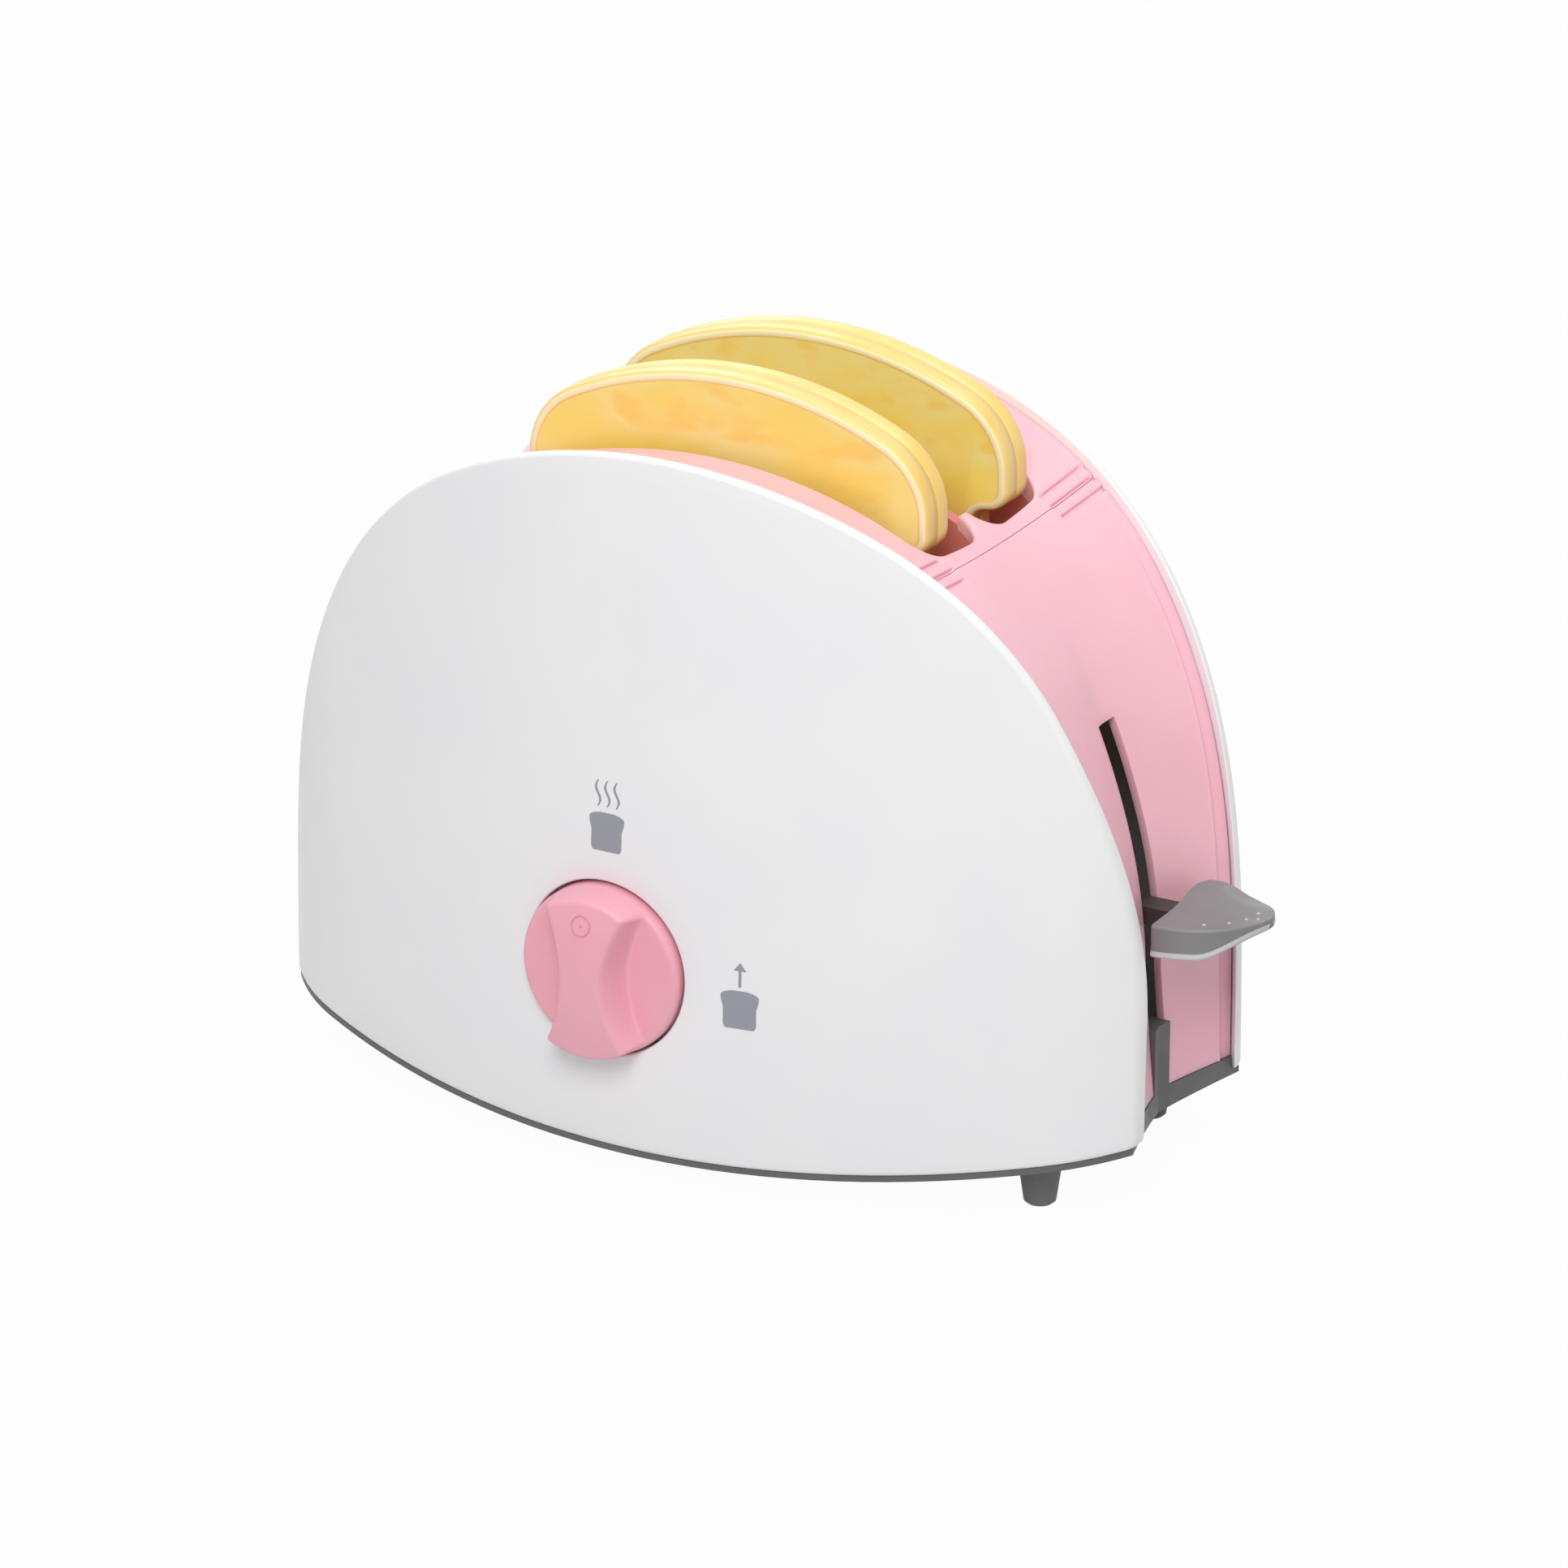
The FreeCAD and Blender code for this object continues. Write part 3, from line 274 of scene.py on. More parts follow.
def moulded(name, colour, shade, rough, grain=900.0, depth=0.00002, coat=0.0):
    """Moulded plastic: faint cloudiness in its colour, uneven gloss and a fine skin."""
    m = Nodes(name)
    m.set(Specular_IOR_Level=0.5, Coat_Weight=coat, Coat_Roughness=0.12)
    tone = m.mix(m.spread(m.noise(28.0), 0.0, 1.0), colour, shade)
    m.link(tone, m.shader.inputs["Base Color"])
    uneven = 0.06
    gloss = m.spread(m.noise(160.0), rough - uneven, rough + uneven)
    m.link(gloss, m.shader.inputs["Roughness"])
    m.bump(m.noise(grain, 2.0), 0.25, depth)
    return m.material


white = moulded("white_plastic", lin(246, 246, 247), lin(243, 243, 245), 0.34, coat=0.15)
pink = moulded("pink_plastic", lin(251, 195, 208), lin(248, 188, 202), 0.38, coat=0.1)
pink_knob = moulded("pink_knob_plastic", lin(247, 178, 193), lin(244, 170, 186), 0.38, coat=0.1)
pink_mark = moulded("pink_mark_plastic", lin(226, 150, 168), lin(222, 146, 164), 0.5)
# A darker, redder pink than the body's: painted shade for the dark red-brown inside the bread
# slots
well_pink_painted_shade = moulded("well_painted_shade", lin(228, 140, 140), lin(222, 132, 134), 0.5)
grey_base = moulded(
    "grey_base_plastic", lin(104, 104, 105), lin(96, 97, 98), 0.55, grain=1400.0, depth=0.00004
)
grey_paddle = moulded("grey_paddle_plastic", lin(131, 130, 131), lin(124, 123, 125), 0.42)
# Paler grey for the grip dots, and on the paddle's rolled lower edge a painted highlight
pale_grey_and_painted_highlight = moulded("grey_dots_and_painted_rim_highlight", lin(196, 196, 196), lin(190, 190, 191), 0.4)
grey_inner = moulded("grey_inner_plastic", lin(58, 50, 51), lin(50, 42, 44), 0.55)
grey_foot = moulded(
    "grey_foot_rubber", lin(120, 120, 122), lin(112, 112, 114), 0.62, grain=1800.0, depth=0.00005
)
print_grey = moulded("print_grey", lin(158, 160, 170), lin(152, 154, 164), 0.45, grain=2500.0)


def steel_material():
    m = Nodes("steel_screw")
    m.set(Metallic=1.0)
    tone = m.mix(m.spread(m.noise(300.0), 0.0, 1.0), lin(196, 197, 200), lin(176, 177, 181))
    m.link(tone, m.shader.inputs["Base Color"])
    m.link(m.spread(m.noise(500.0), 0.22, 0.4), m.shader.inputs["Roughness"])
    return m.material


def toast_material():
    """Painted bread: soft blotches on the faces, a painted highlight as a pale line round them,
    and a paler edge.
    """
    m = Nodes("toast_plastic")
    m.set(Specular_IOR_Level=0.5, Coat_Weight=0.15, Coat_Roughness=0.3)
    stretch = m.add("ShaderNodeMapping")
    stretch.inputs["Scale"].default_value = (0.8, 1.0, 1.5)
    m.link(m.place(), stretch.inputs["Vector"])
    where = stretch.outputs["Vector"]
    broad = m.noise(48.0, 3.0, where)
    fine = m.noise(95.0, 4.0, where)
    face = m.mix(m.spread(broad, 0.0, 1.0, 0.38, 0.62), lin(255, 232, 116), lin(255, 241, 156))
    patch = m.mix(m.spread(fine, 0.0, 0.8, 0.54, 0.68), face, lin(255, 218, 104))
    rim = m.add("ShaderNodeAttribute", attribute_name="crust_and_highlight").outputs["Fac"]
    edge = m.mix(m.spread(m.noise(90.0), 0.0, 1.0), lin(252, 219, 136), lin(248, 209, 116))
    body = m.mix(m.spread(rim, 0.0, 1.0, 0.1, 0.5), patch, edge)
    # Where the attribute nears 1 the colour is a painted highlight: a pale line along the bead
    # round the face
    tone = m.mix(m.spread(rim, 0.0, 1.0, 0.6, 1.0), body, lin(254, 244, 196))
    m.link(tone, m.shader.inputs["Base Color"])
    m.link(m.spread(m.noise(120.0), 0.34, 0.48), m.shader.inputs["Roughness"])
    m.bump(fine, 0.25, 0.0002)
    return m.material


steel = steel_material()
toast_yellow = toast_material()


# White panels

def outline():
    """Elevation of a panel as points with outward directions, round the edge once."""
    found = []
    steps, side_steps, corner_steps, foot_steps = 74, 8, 6, 60
    for i in range(-steps, steps + 1):
        turn = math.radians(90.0 * abs(i) / steps)
        x, z = arch_point(turn)
        side = -1.0 if i < 0 else 1.0
        found.append((side * x, z, side * math.sin(turn), math.cos(turn)))
    slope = math.atan(HALF / math.sqrt(ROCKER_R ** 2 - HALF ** 2))
    sweep = math.pi / 2.0 - slope
    tangent = RIM_CORNER_R * math.tan(sweep / 2.0)
    low = rocker_z(HALF) + tangent
    start = found[-1][1]
    right = []
    for k in range(1, side_steps + 1):
        right.append((HALF, start + (low - start) * k / side_steps, 1.0, 0.0))
    for k in range(1, corner_steps + 1):
        a = -sweep * k / corner_steps
        x = HALF - RIM_CORNER_R + RIM_CORNER_R * math.cos(a)
        right.append((x, low + RIM_CORNER_R * math.sin(a), math.cos(a), math.sin(a)))
    found.extend(right)
    reach = HALF - tangent - 1.0
    for k in range(foot_steps + 1):
        x = reach * (1.0 - 2.0 * k / foot_steps)
        a = math.asin(x / ROCKER_R)
        found.append((x, rocker_z(x), math.sin(a), -math.cos(a)))
    found.extend([(-x, z, -nx, nz) for x, z, nx, nz in reversed(right)])
    return found


def panel(name, side, node, hole):
    """A shell with a rounded rim; the front one has the cup that the knob turns in."""
    edge = outline()
    centre = KNOB if hole else (0.0, 62.0)
    inner_r = CUP_R + CUP_EDGE if hole else 0.6

    def at(x, z, inset):
        y = face_y(x, z, inset)
        return (x, y if side < 0 else -y, z)

    def edge_ring(offset, inset):
        return [at(x - nx * offset, z - nz * offset, inset) for x, z, nx, nz in edge]

    def circle(radius):
        ring = []
        for x, z, _, _ in edge:
            dx, dz = x - centre[0], z - centre[1]
            away = math.hypot(dx, dz)
            ring.append((centre[0] + dx * radius / away, centre[1] + dz * radius / away))
        return ring

    def between(inset, radius, offset, shares):
        inner = circle(radius)
        rings = []
        for f in shares:
            ring = []
            for (cx, cz), (x, z, nx, nz) in zip(inner, edge):
                ex, ez = x - nx * offset, z - nz * offset
                ring.append(at(cx + (ex - cx) * f, cz + (ez - cz) * f, inset))
            rings.append(ring)
        return rings

    rings = []
    if hole:
        floor_y = cup_floor()
        rings.append([(x, floor_y, z) for x, z in circle(BORE_R)])
        rings.append([(x, floor_y, z) for x, z in circle(CUP_R - CUP_SOFT)])
        rings.append([(x, floor_y - CUP_SOFT, z) for x, z in circle(CUP_R)])
        for angle in (0.0, 30.0, 60.0):
            a = math.radians(angle)
            radius = CUP_R + CUP_EDGE * (1.0 - math.cos(a))
            inset = CUP_EDGE * (1.0 - math.sin(a))
            rings.append([at(x, z, inset) for x, z in circle(radius)])
    shares = (0.0, 0.05, 0.12, 0.2, 0.3, 0.42, 0.54, 0.66, 0.78, 0.88, 0.95, 1.0)
    rings.extend(between(0.0, inner_r, RIM_SOFT, shares))
    for k in range(1, 6):
        a = math.radians(90.0 * k / 5.0)
        rings.append(edge_ring(RIM_SOFT * (1.0 - math.sin(a)), RIM_SOFT * (1.0 - math.cos(a))))
    for k in range(4):
        a = math.radians(90.0 * k / 3.0)
        inset = WALL - RIM_INNER_SOFT * (1.0 - math.sin(a))
        rings.append(edge_ring(RIM_INNER_SOFT * (1.0 - math.cos(a)), inset))
    shares = (0.96, 0.9, 0.8, 0.65, 0.5, 0.35, 0.2, 0.0)
    inner_radius = CUP_R + WALL if hole else inner_r
    rings.extend(between(WALL, inner_radius, RIM_INNER_SOFT, shares))
    if hole:
        back = cup_floor() + WALL
        rings.append([(x, back, z) for x, z in circle(CUP_R + WALL)])
        rings.append([(x, back, z) for x, z in circle(BORE_R)])
        points, faces = rings_mesh(rings, close_rings=True)
    else:
        points, faces = rings_mesh(rings, cap_first=True, cap_last=True)
    if side > 0:
        faces = [tuple(reversed(f)) for f in faces]
    new_piece(name, points, faces, white, "housing", (node,), sharp=50.0)


def knob_floor():
    """The knob's underside, which stands just off the floor of its cup."""
    return plan_y(KNOB[0], 0.0) + lean_at(KNOB[1]) - KNOB_PROUD + KNOB_DEPTH


def cup_floor():
    return knob_floor() + CUP_CLEAR


panel("shell_front", -1, "front_panel", True)
panel("shell_rear", 1, "rear_panel", False)


# Pink covers

def station(turn, z=None):
    """Place, outward direction, half width, sag and crease share of a cover's section."""
    x, height = arch_point(turn)
    if z is not None:
        x, height = HALF, z
    normal = (math.sin(turn), math.cos(turn))
    half_width = -plan_y(x, WALL) - lean_at(height)
    rise = smooth(turn, SEAM_TURN, CREASE_TURN)
    sag = CROWN_SAG + (WING_SAG - CROWN_SAG) * rise
    if height < FLANK_C[1]:
        sag += (FOOT_SAG - WING_SAG) * (FLANK_C[1] - height) / (FLANK_C[1] - BAND_TOP)
    return (x, height), normal, half_width, sag, CREASE_SHARE * rise


def cover_point(turn, y, extra=0.0, z=None, side=1):
    """A point of a cover's outer face, sunk by an extra depth."""
    place, normal, half_width, sag, share = station(abs(turn), z)
    if turn < 0:
        side = -side
    ratio = (math.sqrt(y * y + CREASE_SOFT ** 2) - CREASE_SOFT) / half_width
    depth = STEP + sag * (1.0 - share * ratio - (1.0 - share) * ratio ** 2) + extra
    return (side * (place[0] - normal[0] * depth), y, place[1] - normal[1] * depth)


def edge_y(turn, z=None):
    """How far out a cover reaches, up to the inner face of the panel."""
    y = 45.0
    for _ in range(12):
        p = cover_point(abs(turn), y, 0.0, z)
        y = -face_y(p[0], p[2], WALL + 0.04)
    return y


def groove_depth(turn, y):
    """Depth of the vent grooves, which run square to the arch near the seam."""
    arc = (abs(turn) - SEAM_TURN) * SHOULDER_R
    depth = 0.0
    for step in (-1, 0, 1):
        off = arc - step * GROOVE_PITCH
        for (a, low), (b, high) in zip(GROOVE_ROWS, GROOVE_ROWS[1:]):
            if a <= off <= b:
                depth = max(depth, low + (high - low) * (off - a) / (b - a))
    return GROOVE_DEPTH * depth * smooth(abs(y), GROOVE_Y - GROOVE_SOFT, GROOVE_Y + GROOVE_SOFT)


def slot_top_turn():
    """The turn at which a cover reaches the top of the lever slot."""
    low, high = SEAM_TURN, math.pi / 2.0
    for _ in range(40):
        middle = (low + high) / 2.0
        if cover_point(middle, SLOT_HALF)[2] > LEVER_TOP:
            low = middle
        else:
            high = middle
    return low


def end_rows():
    """Rows of an end cover from the seam to the band, and the row of the slot's top."""
    upper, lower, straight = 30, 26, 10
    start = SEAM_TURN + 0.5 * SEAM_GAP / SHOULDER_R
    turns = [start]
    for step in (0, 1):
        for off, _ in GROOVE_ROWS:
            turn = SEAM_TURN + (step * GROOVE_PITCH + off) / SHOULDER_R
            if turn > start + 0.0005:
                turns.append(turn)
    first = turns[-1]
    top = slot_top_turn()
    turns.extend(first + (top - first) * k / upper for k in range(1, upper + 1))
    turns.extend(top + (math.pi / 2.0 - top) * k / lower for k in range(1, lower + 1))
    rows = [(turn, None) for turn in turns]
    for k in range(1, straight + 1):
        rows.append((math.pi / 2.0, FLANK_C[1] + (BAND_TOP - FLANK_C[1]) * k / straight))
    return rows, len(turns) - lower - 1


def strip_depth(turn, y, limit):
    """Depth of the lowered strip beside each panel, with a fine ridge along it."""
    off = abs(y) - (limit - STRIP)
    ridge = max(0.0, 1.0 - abs(off + 0.3) / 0.45)
    fade = smooth(turn, SEAM_TURN + 0.08, SEAM_TURN + 0.4)
    return fade * (STRIP_DROP * smooth(off, -0.3, 0.5) - STRIP_RIDGE * ridge)


def end_columns(limit):
    """Places across a cover, close together where its relief turns."""
    inner = [-SLOT_HALF + SLOT_HALF * k / 4.0 for k in range(9)]
    groove = min(GROOVE_Y, limit - STRIP - 6.0)
    outer = [SLOT_HALF + (groove - 0.6 - SLOT_HALF) * k / 12.0 for k in range(1, 13)]
    outer.extend(groove + off for off in (-GROOVE_SOFT, -0.12, 0.12, GROOVE_SOFT))
    start = groove + GROOVE_SOFT
    outer.extend(start + (limit - STRIP - 1.0 - start) * k / 6.0 for k in range(1, 7))
    outer.extend(limit - STRIP + off for off in (-0.6, -0.3, 0.0, 0.3, 0.6, 0.5 * STRIP, STRIP))
    return [-y for y in reversed(outer)] + inner + outer


def end_cover(name, side, node, with_slot):
    """A cover below the seam, as a skin that a modifier thickens inward."""
    rows, top_row = end_rows()
    points = []
    for turn, z in rows:
        limit = edge_y(turn, z)
        for y in end_columns(limit):
            depth = strip_depth(turn, y, limit)
            if z is None:
                depth += groove_depth(turn, y)
            points.append(cover_point(turn, y, depth, z, side))
    width = len(points) // len(rows)
    middle = width // 2
    faces = []
    for i in range(len(rows) - 1):
        for j in range(width - 1):
            if with_slot and i >= top_row and middle - 4 <= j < middle + 4:
                continue
            a = i * width + j
            face = (a, a + width, a + width + 1, a + 1)
            faces.append(face if side > 0 else tuple(reversed(face)))
    used = sorted({v for f in faces for v in f})
    renumber = {old: new for new, old in enumerate(used)}
    faces = [tuple(renumber[v] for v in f) for f in faces]
    kept = [points[v] for v in used]
    piece = new_piece(name, kept, faces, pink, "housing", (node,), sharp=None)
    add_modifier(piece, "SOLIDIFY", thickness=0.002, offset=-1.0)
    add_modifier(
        piece, "BEVEL",
        width=0.00035, segments=2, limit_method="ANGLE", angle_limit=math.radians(62),
    )


end_cover("cover_lever_end", 1, "lever_end_cover", True)
end_cover("cover_plain_end", -1, "plain_end_cover", False)


def opening_loop(grow):
    """Outline of the bread opening in plan, grown into the deck by a distance."""
    quarter = []
    radius = SLOT_R + grow
    cx = SLOT_X - SLOT_R
    low_y = SLOT_IN + SLOT_R
    nose = NOSE_X + grow
    start = math.asin((nose - cx) / radius)
    for k in range(13):
        a = start + (math.pi / 2.0 - start) * k / 12.0
        quarter.append((cx + radius * math.sin(a), low_y - radius * math.cos(a)))
    high_y = SLOT_OUT - SLOT_R
    for k in range(1, 4):
        quarter.append((SLOT_X + grow, low_y + (high_y - low_y) * k / 4.0))
    for k in range(13):
        a = math.radians(90.0 * k / 12.0)
        quarter.append((cx + radius * math.cos(a), high_y + radius * math.sin(a)))
    straight = [(cx * (1.0 - k / 20.0), SLOT_OUT + grow) for k in range(1, 20)]
    half = quarter + straight + [(0.0, SLOT_OUT + grow)]
    half += [(-x, y) for x, y in reversed(quarter + straight)]
    tip = quarter[0][1]
    left = [(-nose, tip * k) for k in (0.5, 0.0, -0.5)]
    right = [(nose, tip * k) for k in (-0.5, 0.0, 0.5)]
    return half + left + [(x, -y) for x, y in reversed(half)] + right


def deck_point(x, y):
    """Height of the top cover above a place in plan, and the turn of its section."""
    turn = math.asin(min(abs(x) / CROWN_R, 0.9))
    for _ in range(12):
        p = cover_point(turn, y)
        slope = (CROWN_R if turn < CROWN_TURN else SHOULDER_R) * math.cos(turn)
        turn += (abs(x) - p[0]) / slope
        turn = max(turn, 0.0)
    return cover_point(turn, y)[2], turn


def inside(point, loop):
    """Whether a point lies inside a closed loop."""
    x, y = point
    found = False
    for (ax, ay), (bx, by) in zip(loop, loop[1:] + loop[:1]):
        if (ay > y) != (by > y) and x < (bx - ax) * (y - ay) / (by - ay) + ax:
            found = not found
    return found


def top_cover():
    """The deck as one skin, with a rounded lip that runs down into the bread slots."""
    limit = SEAM_TURN - 0.5 * SEAM_GAP / SHOULDER_R
    row_count = 36
    hole = opening_loop(LIP)
    hole_at = []
    for x, y in hole:
        turn = deck_point(x, y)[1]
        hole_at.append((math.copysign(turn, x) if x else 0.0, y))
    steps = [limit * (k / row_count - 1.0) for k in range(2 * row_count + 1)]
    border = [(turn, -edge_y(turn)) for turn in steps]
    end_steps = [y for y in end_columns(edge_y(limit))][1:-1]
    border += [(limit, y) for y in end_steps]
    border += [(turn, edge_y(turn)) for turn in reversed(steps)]
    border += [(-limit, y) for y in reversed(end_steps)]
    inner = []
    rows = [limit * k / row_count for k in range(1 - row_count, row_count)]
    for off, _ in GROOVE_ROWS:
        turn = SEAM_TURN + (off - GROOVE_PITCH) / SHOULDER_R
        rows.extend((turn, -turn))
        turn = SEAM_TURN + off / SHOULDER_R
        if turn < limit - 0.0005:
            rows.extend((turn, -turn))
    hole_flat = [(t * CDT_SCALE, y) for t, y in hole_at]
    for turn in sorted(rows):
        reach = edge_y(turn)
        for y in end_columns(reach)[1:-1]:
            if abs(y) > reach - 0.6:
                continue
            across_arc = turn * CDT_SCALE
            near = min((across_arc - hx) ** 2 + (y - hy) ** 2 for hx, hy in hole_flat)
            if near > 0.8 and not inside((across_arc, y), hole_flat):
                inner.append((turn, y))
    flat = [Vector((t * CDT_SCALE, y)) for t, y in border + hole_at + inner]
    edges = [(k, (k + 1) % len(border)) for k in range(len(border))]
    first = len(border)
    count = len(hole_at)
    edges += [(first + k, first + (k + 1) % count) for k in range(count)]
    verts, _, tris, origins, _, _ = delaunay_2d_cdt(flat, edges, [], 0, 1e-6)
    border_flat = [(t * CDT_SCALE, y) for t, y in border]
    faces = []
    for tri in tris:
        cx = sum(verts[v].x for v in tri) / 3.0
        cy = sum(verts[v].y for v in tri) / 3.0
        if inside((cx, cy), border_flat) and not inside((cx, cy), hole_flat):
            faces.append(tuple(tri))
    points = []
    for v in verts:
        turn = v.x / CDT_SCALE
        points.append(cover_point(turn, v.y, groove_depth(turn, v.y)))
    lookup = {source: made for made, sources in enumerate(origins) for source in sources}
    ring = [lookup[first + k] for k in range(count)]
    for k in range(1, 8):
        angle = math.radians(min(90.0 * k / 5.0, 90.0))
        loop = opening_loop(LIP * (1.0 - math.sin(angle)) if k < 6 else -0.04)
        fresh = []
        for (x, y), (hx, hy) in zip(loop, hole):
            z = deck_point(hx, hy)[0] - LIP * (1.0 - math.cos(angle))
            under = arch_z(x, STEP + CROWN_SAG + LIP_FOOT)
            if k == 6:
                z = (z + min(under, z - 0.5)) / 2.0
            if k == 7:
                z = min(under, z - 0.5)
            points.append((x, y, z))
            fresh.append(len(points) - 1)
        for j in range(count):
            n = (j + 1) % count
            faces.append((ring[j], ring[n], fresh[n], fresh[j]))
        ring = fresh
    piece = new_piece(
        "cover_top", points, faces, pink, "housing", ("top_cover",), sharp=60.0
    )
    tidy_normals(piece)


def arch_z(x, inset):
    """Height of the arch above a place along the body, at an inset from it."""
    low, high = 0.0, math.pi / 2.0
    for _ in range(40):
        middle = (low + high) / 2.0
        if arch_point(middle, inset)[0] < abs(x):
            low = middle
        else:
            high = middle
    return arch_point(low, inset)[1]


def tidy_normals(piece):
    """Turns every face of a skin the same way, outward and up."""
    mesh = bmesh.new()
    mesh.from_mesh(piece.data)
    bmesh.ops.recalc_face_normals(mesh, faces=mesh.faces)
    highest = max(mesh.faces, key=lambda f: f.calc_center_median().z)
    if highest.normal.z < 0:
        bmesh.ops.reverse_faces(mesh, faces=mesh.faces)
    mesh.to_mesh(piece.data)
    mesh.free()


top_cover()


# Toast

TOAST_T, TOAST_W, TOAST_WAIST, TOAST_H = 9.8, 46.4, 38.0, 92.2
TOAST_CROWN, TOAST_SHOULDER, TRAY_TOP = 83.0, 17.3, 72.0
TOAST_NECK, TOAST_CORNER, TOAST_BEAD = 3.5, 6.0, 1.3


def toast_outline():
    """Half the slice's outline from the crown down to the foot, with outward directions."""
    top_z = TRAY_TOP + TOAST_H
    shoulder_x = TOAST_W - TOAST_SHOULDER
    reach = TOAST_CROWN - TOAST_SHOULDER
    tilt = math.degrees(math.asin(shoulder_x / reach))
    shoulder_z = top_z - TOAST_CROWN + reach * math.cos(math.radians(tilt))
    lower = TOAST_W - TOAST_WAIST - TOAST_NECK
    lower_x = TOAST_W - lower
    lower_z = shoulder_z - 3.0
    neck_z = lower_z - lower - TOAST_NECK
    foot_x = TOAST_WAIST - TOAST_CORNER
    arcs = (
        (0.0, top_z - TOAST_CROWN, TOAST_CROWN, 0.0, tilt, 14, 1.0),
        (shoulder_x, shoulder_z, TOAST_SHOULDER, tilt, 90.0, 22, 1.0),
        (lower_x, lower_z, lower, 90.0, 180.0, 10, 1.0),
        (lower_x, neck_z, TOAST_NECK, 0.0, -90.0, 6, -1.0),
        (foot_x, TRAY_TOP + TOAST_CORNER, TOAST_CORNER, 90.0, 180.0, 8, 1.0),
    )
    found = []
    for cx, cz, radius, a, b, count, sense in arcs:
        for k in range(count + 1):
            t = math.radians(a + (b - a) * k / count)
            sine, cosine = math.sin(t), math.cos(t)
            p = (cx + radius * sine, cz + radius * cosine, sense * sine, sense * cosine)
            if not found or math.hypot(p[0] - found[-1][0], p[1] - found[-1][1]) > 0.05:
                found.append(p)
    full = []
    for (x, z, nx, nz), after in zip(found, found[1:] + [None]):
        full.append((x, z, nx, nz))
        if after and math.hypot(after[0] - x, after[1] - z) > 6.0:
            for k in range(1, 10):
                f = k / 10.0
                full.append((x + (after[0] - x) * f, z + (after[1] - z) * f, nx, nz))
    full += [(foot_x * (1.0 - k / 8.0), TRAY_TOP, 0.0, -1.0) for k in range(1, 8)]
    left = [(-x, z, -nx, nz) for x, z, nx, nz in reversed(full)]
    return full + [(0.0, TRAY_TOP, 0.0, -1.0)] + left[:-1]


def toast(name, shift, y, side, node):
    """Half a slice: a face inside a rounded bead, the edge, and the parting groove."""
    edge = toast_outline()
    half = TOAST_T / 2.0
    rings = []
    marks = []

    def add(offset, depth, mark):
        rings.append([
            (x - nx * offset + shift, y + side * depth, z - nz * offset) for x, z, nx, nz in edge
        ])
        marks.append(mark)

    # Each ring's last value: 0 on the face, 0.4 to 0.5 on the paler edge band, 1 where the
    # painted highlight runs along the bead
    bead = TOAST_BEAD
    add(0.3, 0.0, 0.4)
    add(0.25, 0.1, 0.4)
    add(0.0, 0.32, 0.5)
    add(0.0, half - bead - 0.6, 0.5)
    for k in range(1, 7):
        a = math.radians(90.0 * k / 6.0)
        add(bead * (1.0 - math.cos(a)), half - bead + bead * math.sin(a), 0.5 if k < 4 else 1.0)
    add(bead + 0.35, half, 1.0)
    add(bead + 0.7, half - 0.1, 0.5)
    add(bead + 1.1, half - 0.2, 0.0)
    points, faces = rings_mesh(rings, cap_last=True)
    if side < 0:
        faces = [tuple(reversed(f)) for f in faces]
    body = "toast_front" if y < 0 else "toast_rear"
    piece = new_piece(name, points, faces, toast_yellow, body, (node,), sharp=50.0)
    layer = piece.data.attributes.new("crust_and_highlight", "FLOAT", "POINT")
    layer.data.foreach_set("value", [mark for mark in marks for _ in edge])


for where, y, shift in (("front", -16.5, 3.1), ("rear", 16.5, 3.9)):
    for half_name, side in (("a", -1), ("b", 1)):
        ending = where + "_" + half_name
        toast("slice_" + ending, shift, y, side, "toast_" + ending)


# Knob

GRIP_RISE, GRIP_DROP = 8.3, 2.6
GRIP_WAIST, GRIP_FLARE, GRIP_WALL = 4.9, 6.6, 2.2
DIAL_SOFT, DIAL_FOOT, DIAL_STEP = 1.2, 0.4, 0.33
MARK_V, MARK_R, MARK_TUBE = 12.4, 2.1, 0.17
DOT_R, DOT_RISE = 0.35, 0.18


def grip_height(u, v):
    """Height of the grip above the disc: a waisted bar with an arched top."""
    along = abs(v) / KNOB_R
    top = GRIP_RISE - GRIP_DROP * along ** 2
    half = GRIP_WAIST + GRIP_FLARE * along ** 2
    rise = 1.0 - smooth(abs(u), half - 0.25 * GRIP_WALL, half + GRIP_WALL)
    crown = 1.0 - 0.03 * (u / 6.0) ** 2
    return top * rise * crown


def knob():
    """The dial and its grip as one skin, from the underside round to the middle of the top."""
    face = knob_floor() - KNOB_DEPTH
    turns = full_turn(192)
    rings = []
    under = (
        (BORE_R, KNOB_DEPTH),
        (KNOB_R - DIAL_FOOT, KNOB_DEPTH),
        (KNOB_R, KNOB_DEPTH - DIAL_FOOT),
    )
    for radius, depth in under:
        rings.append([
            (KNOB[0] + radius * math.cos(a), face + depth, KNOB[1] + radius * math.sin(a))
            for a in turns
        ])
    radii = []
    for k in range(7):
        t = math.radians(90.0 * k / 6.0)
        radii.append((KNOB_R - DIAL_SOFT * (1.0 - math.cos(t)), DIAL_SOFT * (1.0 - math.sin(t))))
    for k in range(1, 52):
        radius = KNOB_R - DIAL_SOFT - DIAL_STEP * k
        if radius > 0.3:
            radii.append((radius, 0.0))
    radii.append((0.05, 0.0))
    for radius, depth in radii:
        ring = []
        fade = smooth(KNOB_R - radius, 0.0, 1.3)
        for a in turns:
            u, v = radius * math.cos(a), radius * math.sin(a)
            ring.append((KNOB[0] + u, face + depth - grip_height(u, v) * fade, KNOB[1] + v))
        rings.append(ring)
    points, faces = rings_mesh(rings, cap_first=True, cap_last=True)
    piece = new_piece("dial", points, faces, pink_knob, "knob", ("knob",), sharp=70.0)
    tidy_normals(piece)


knob()


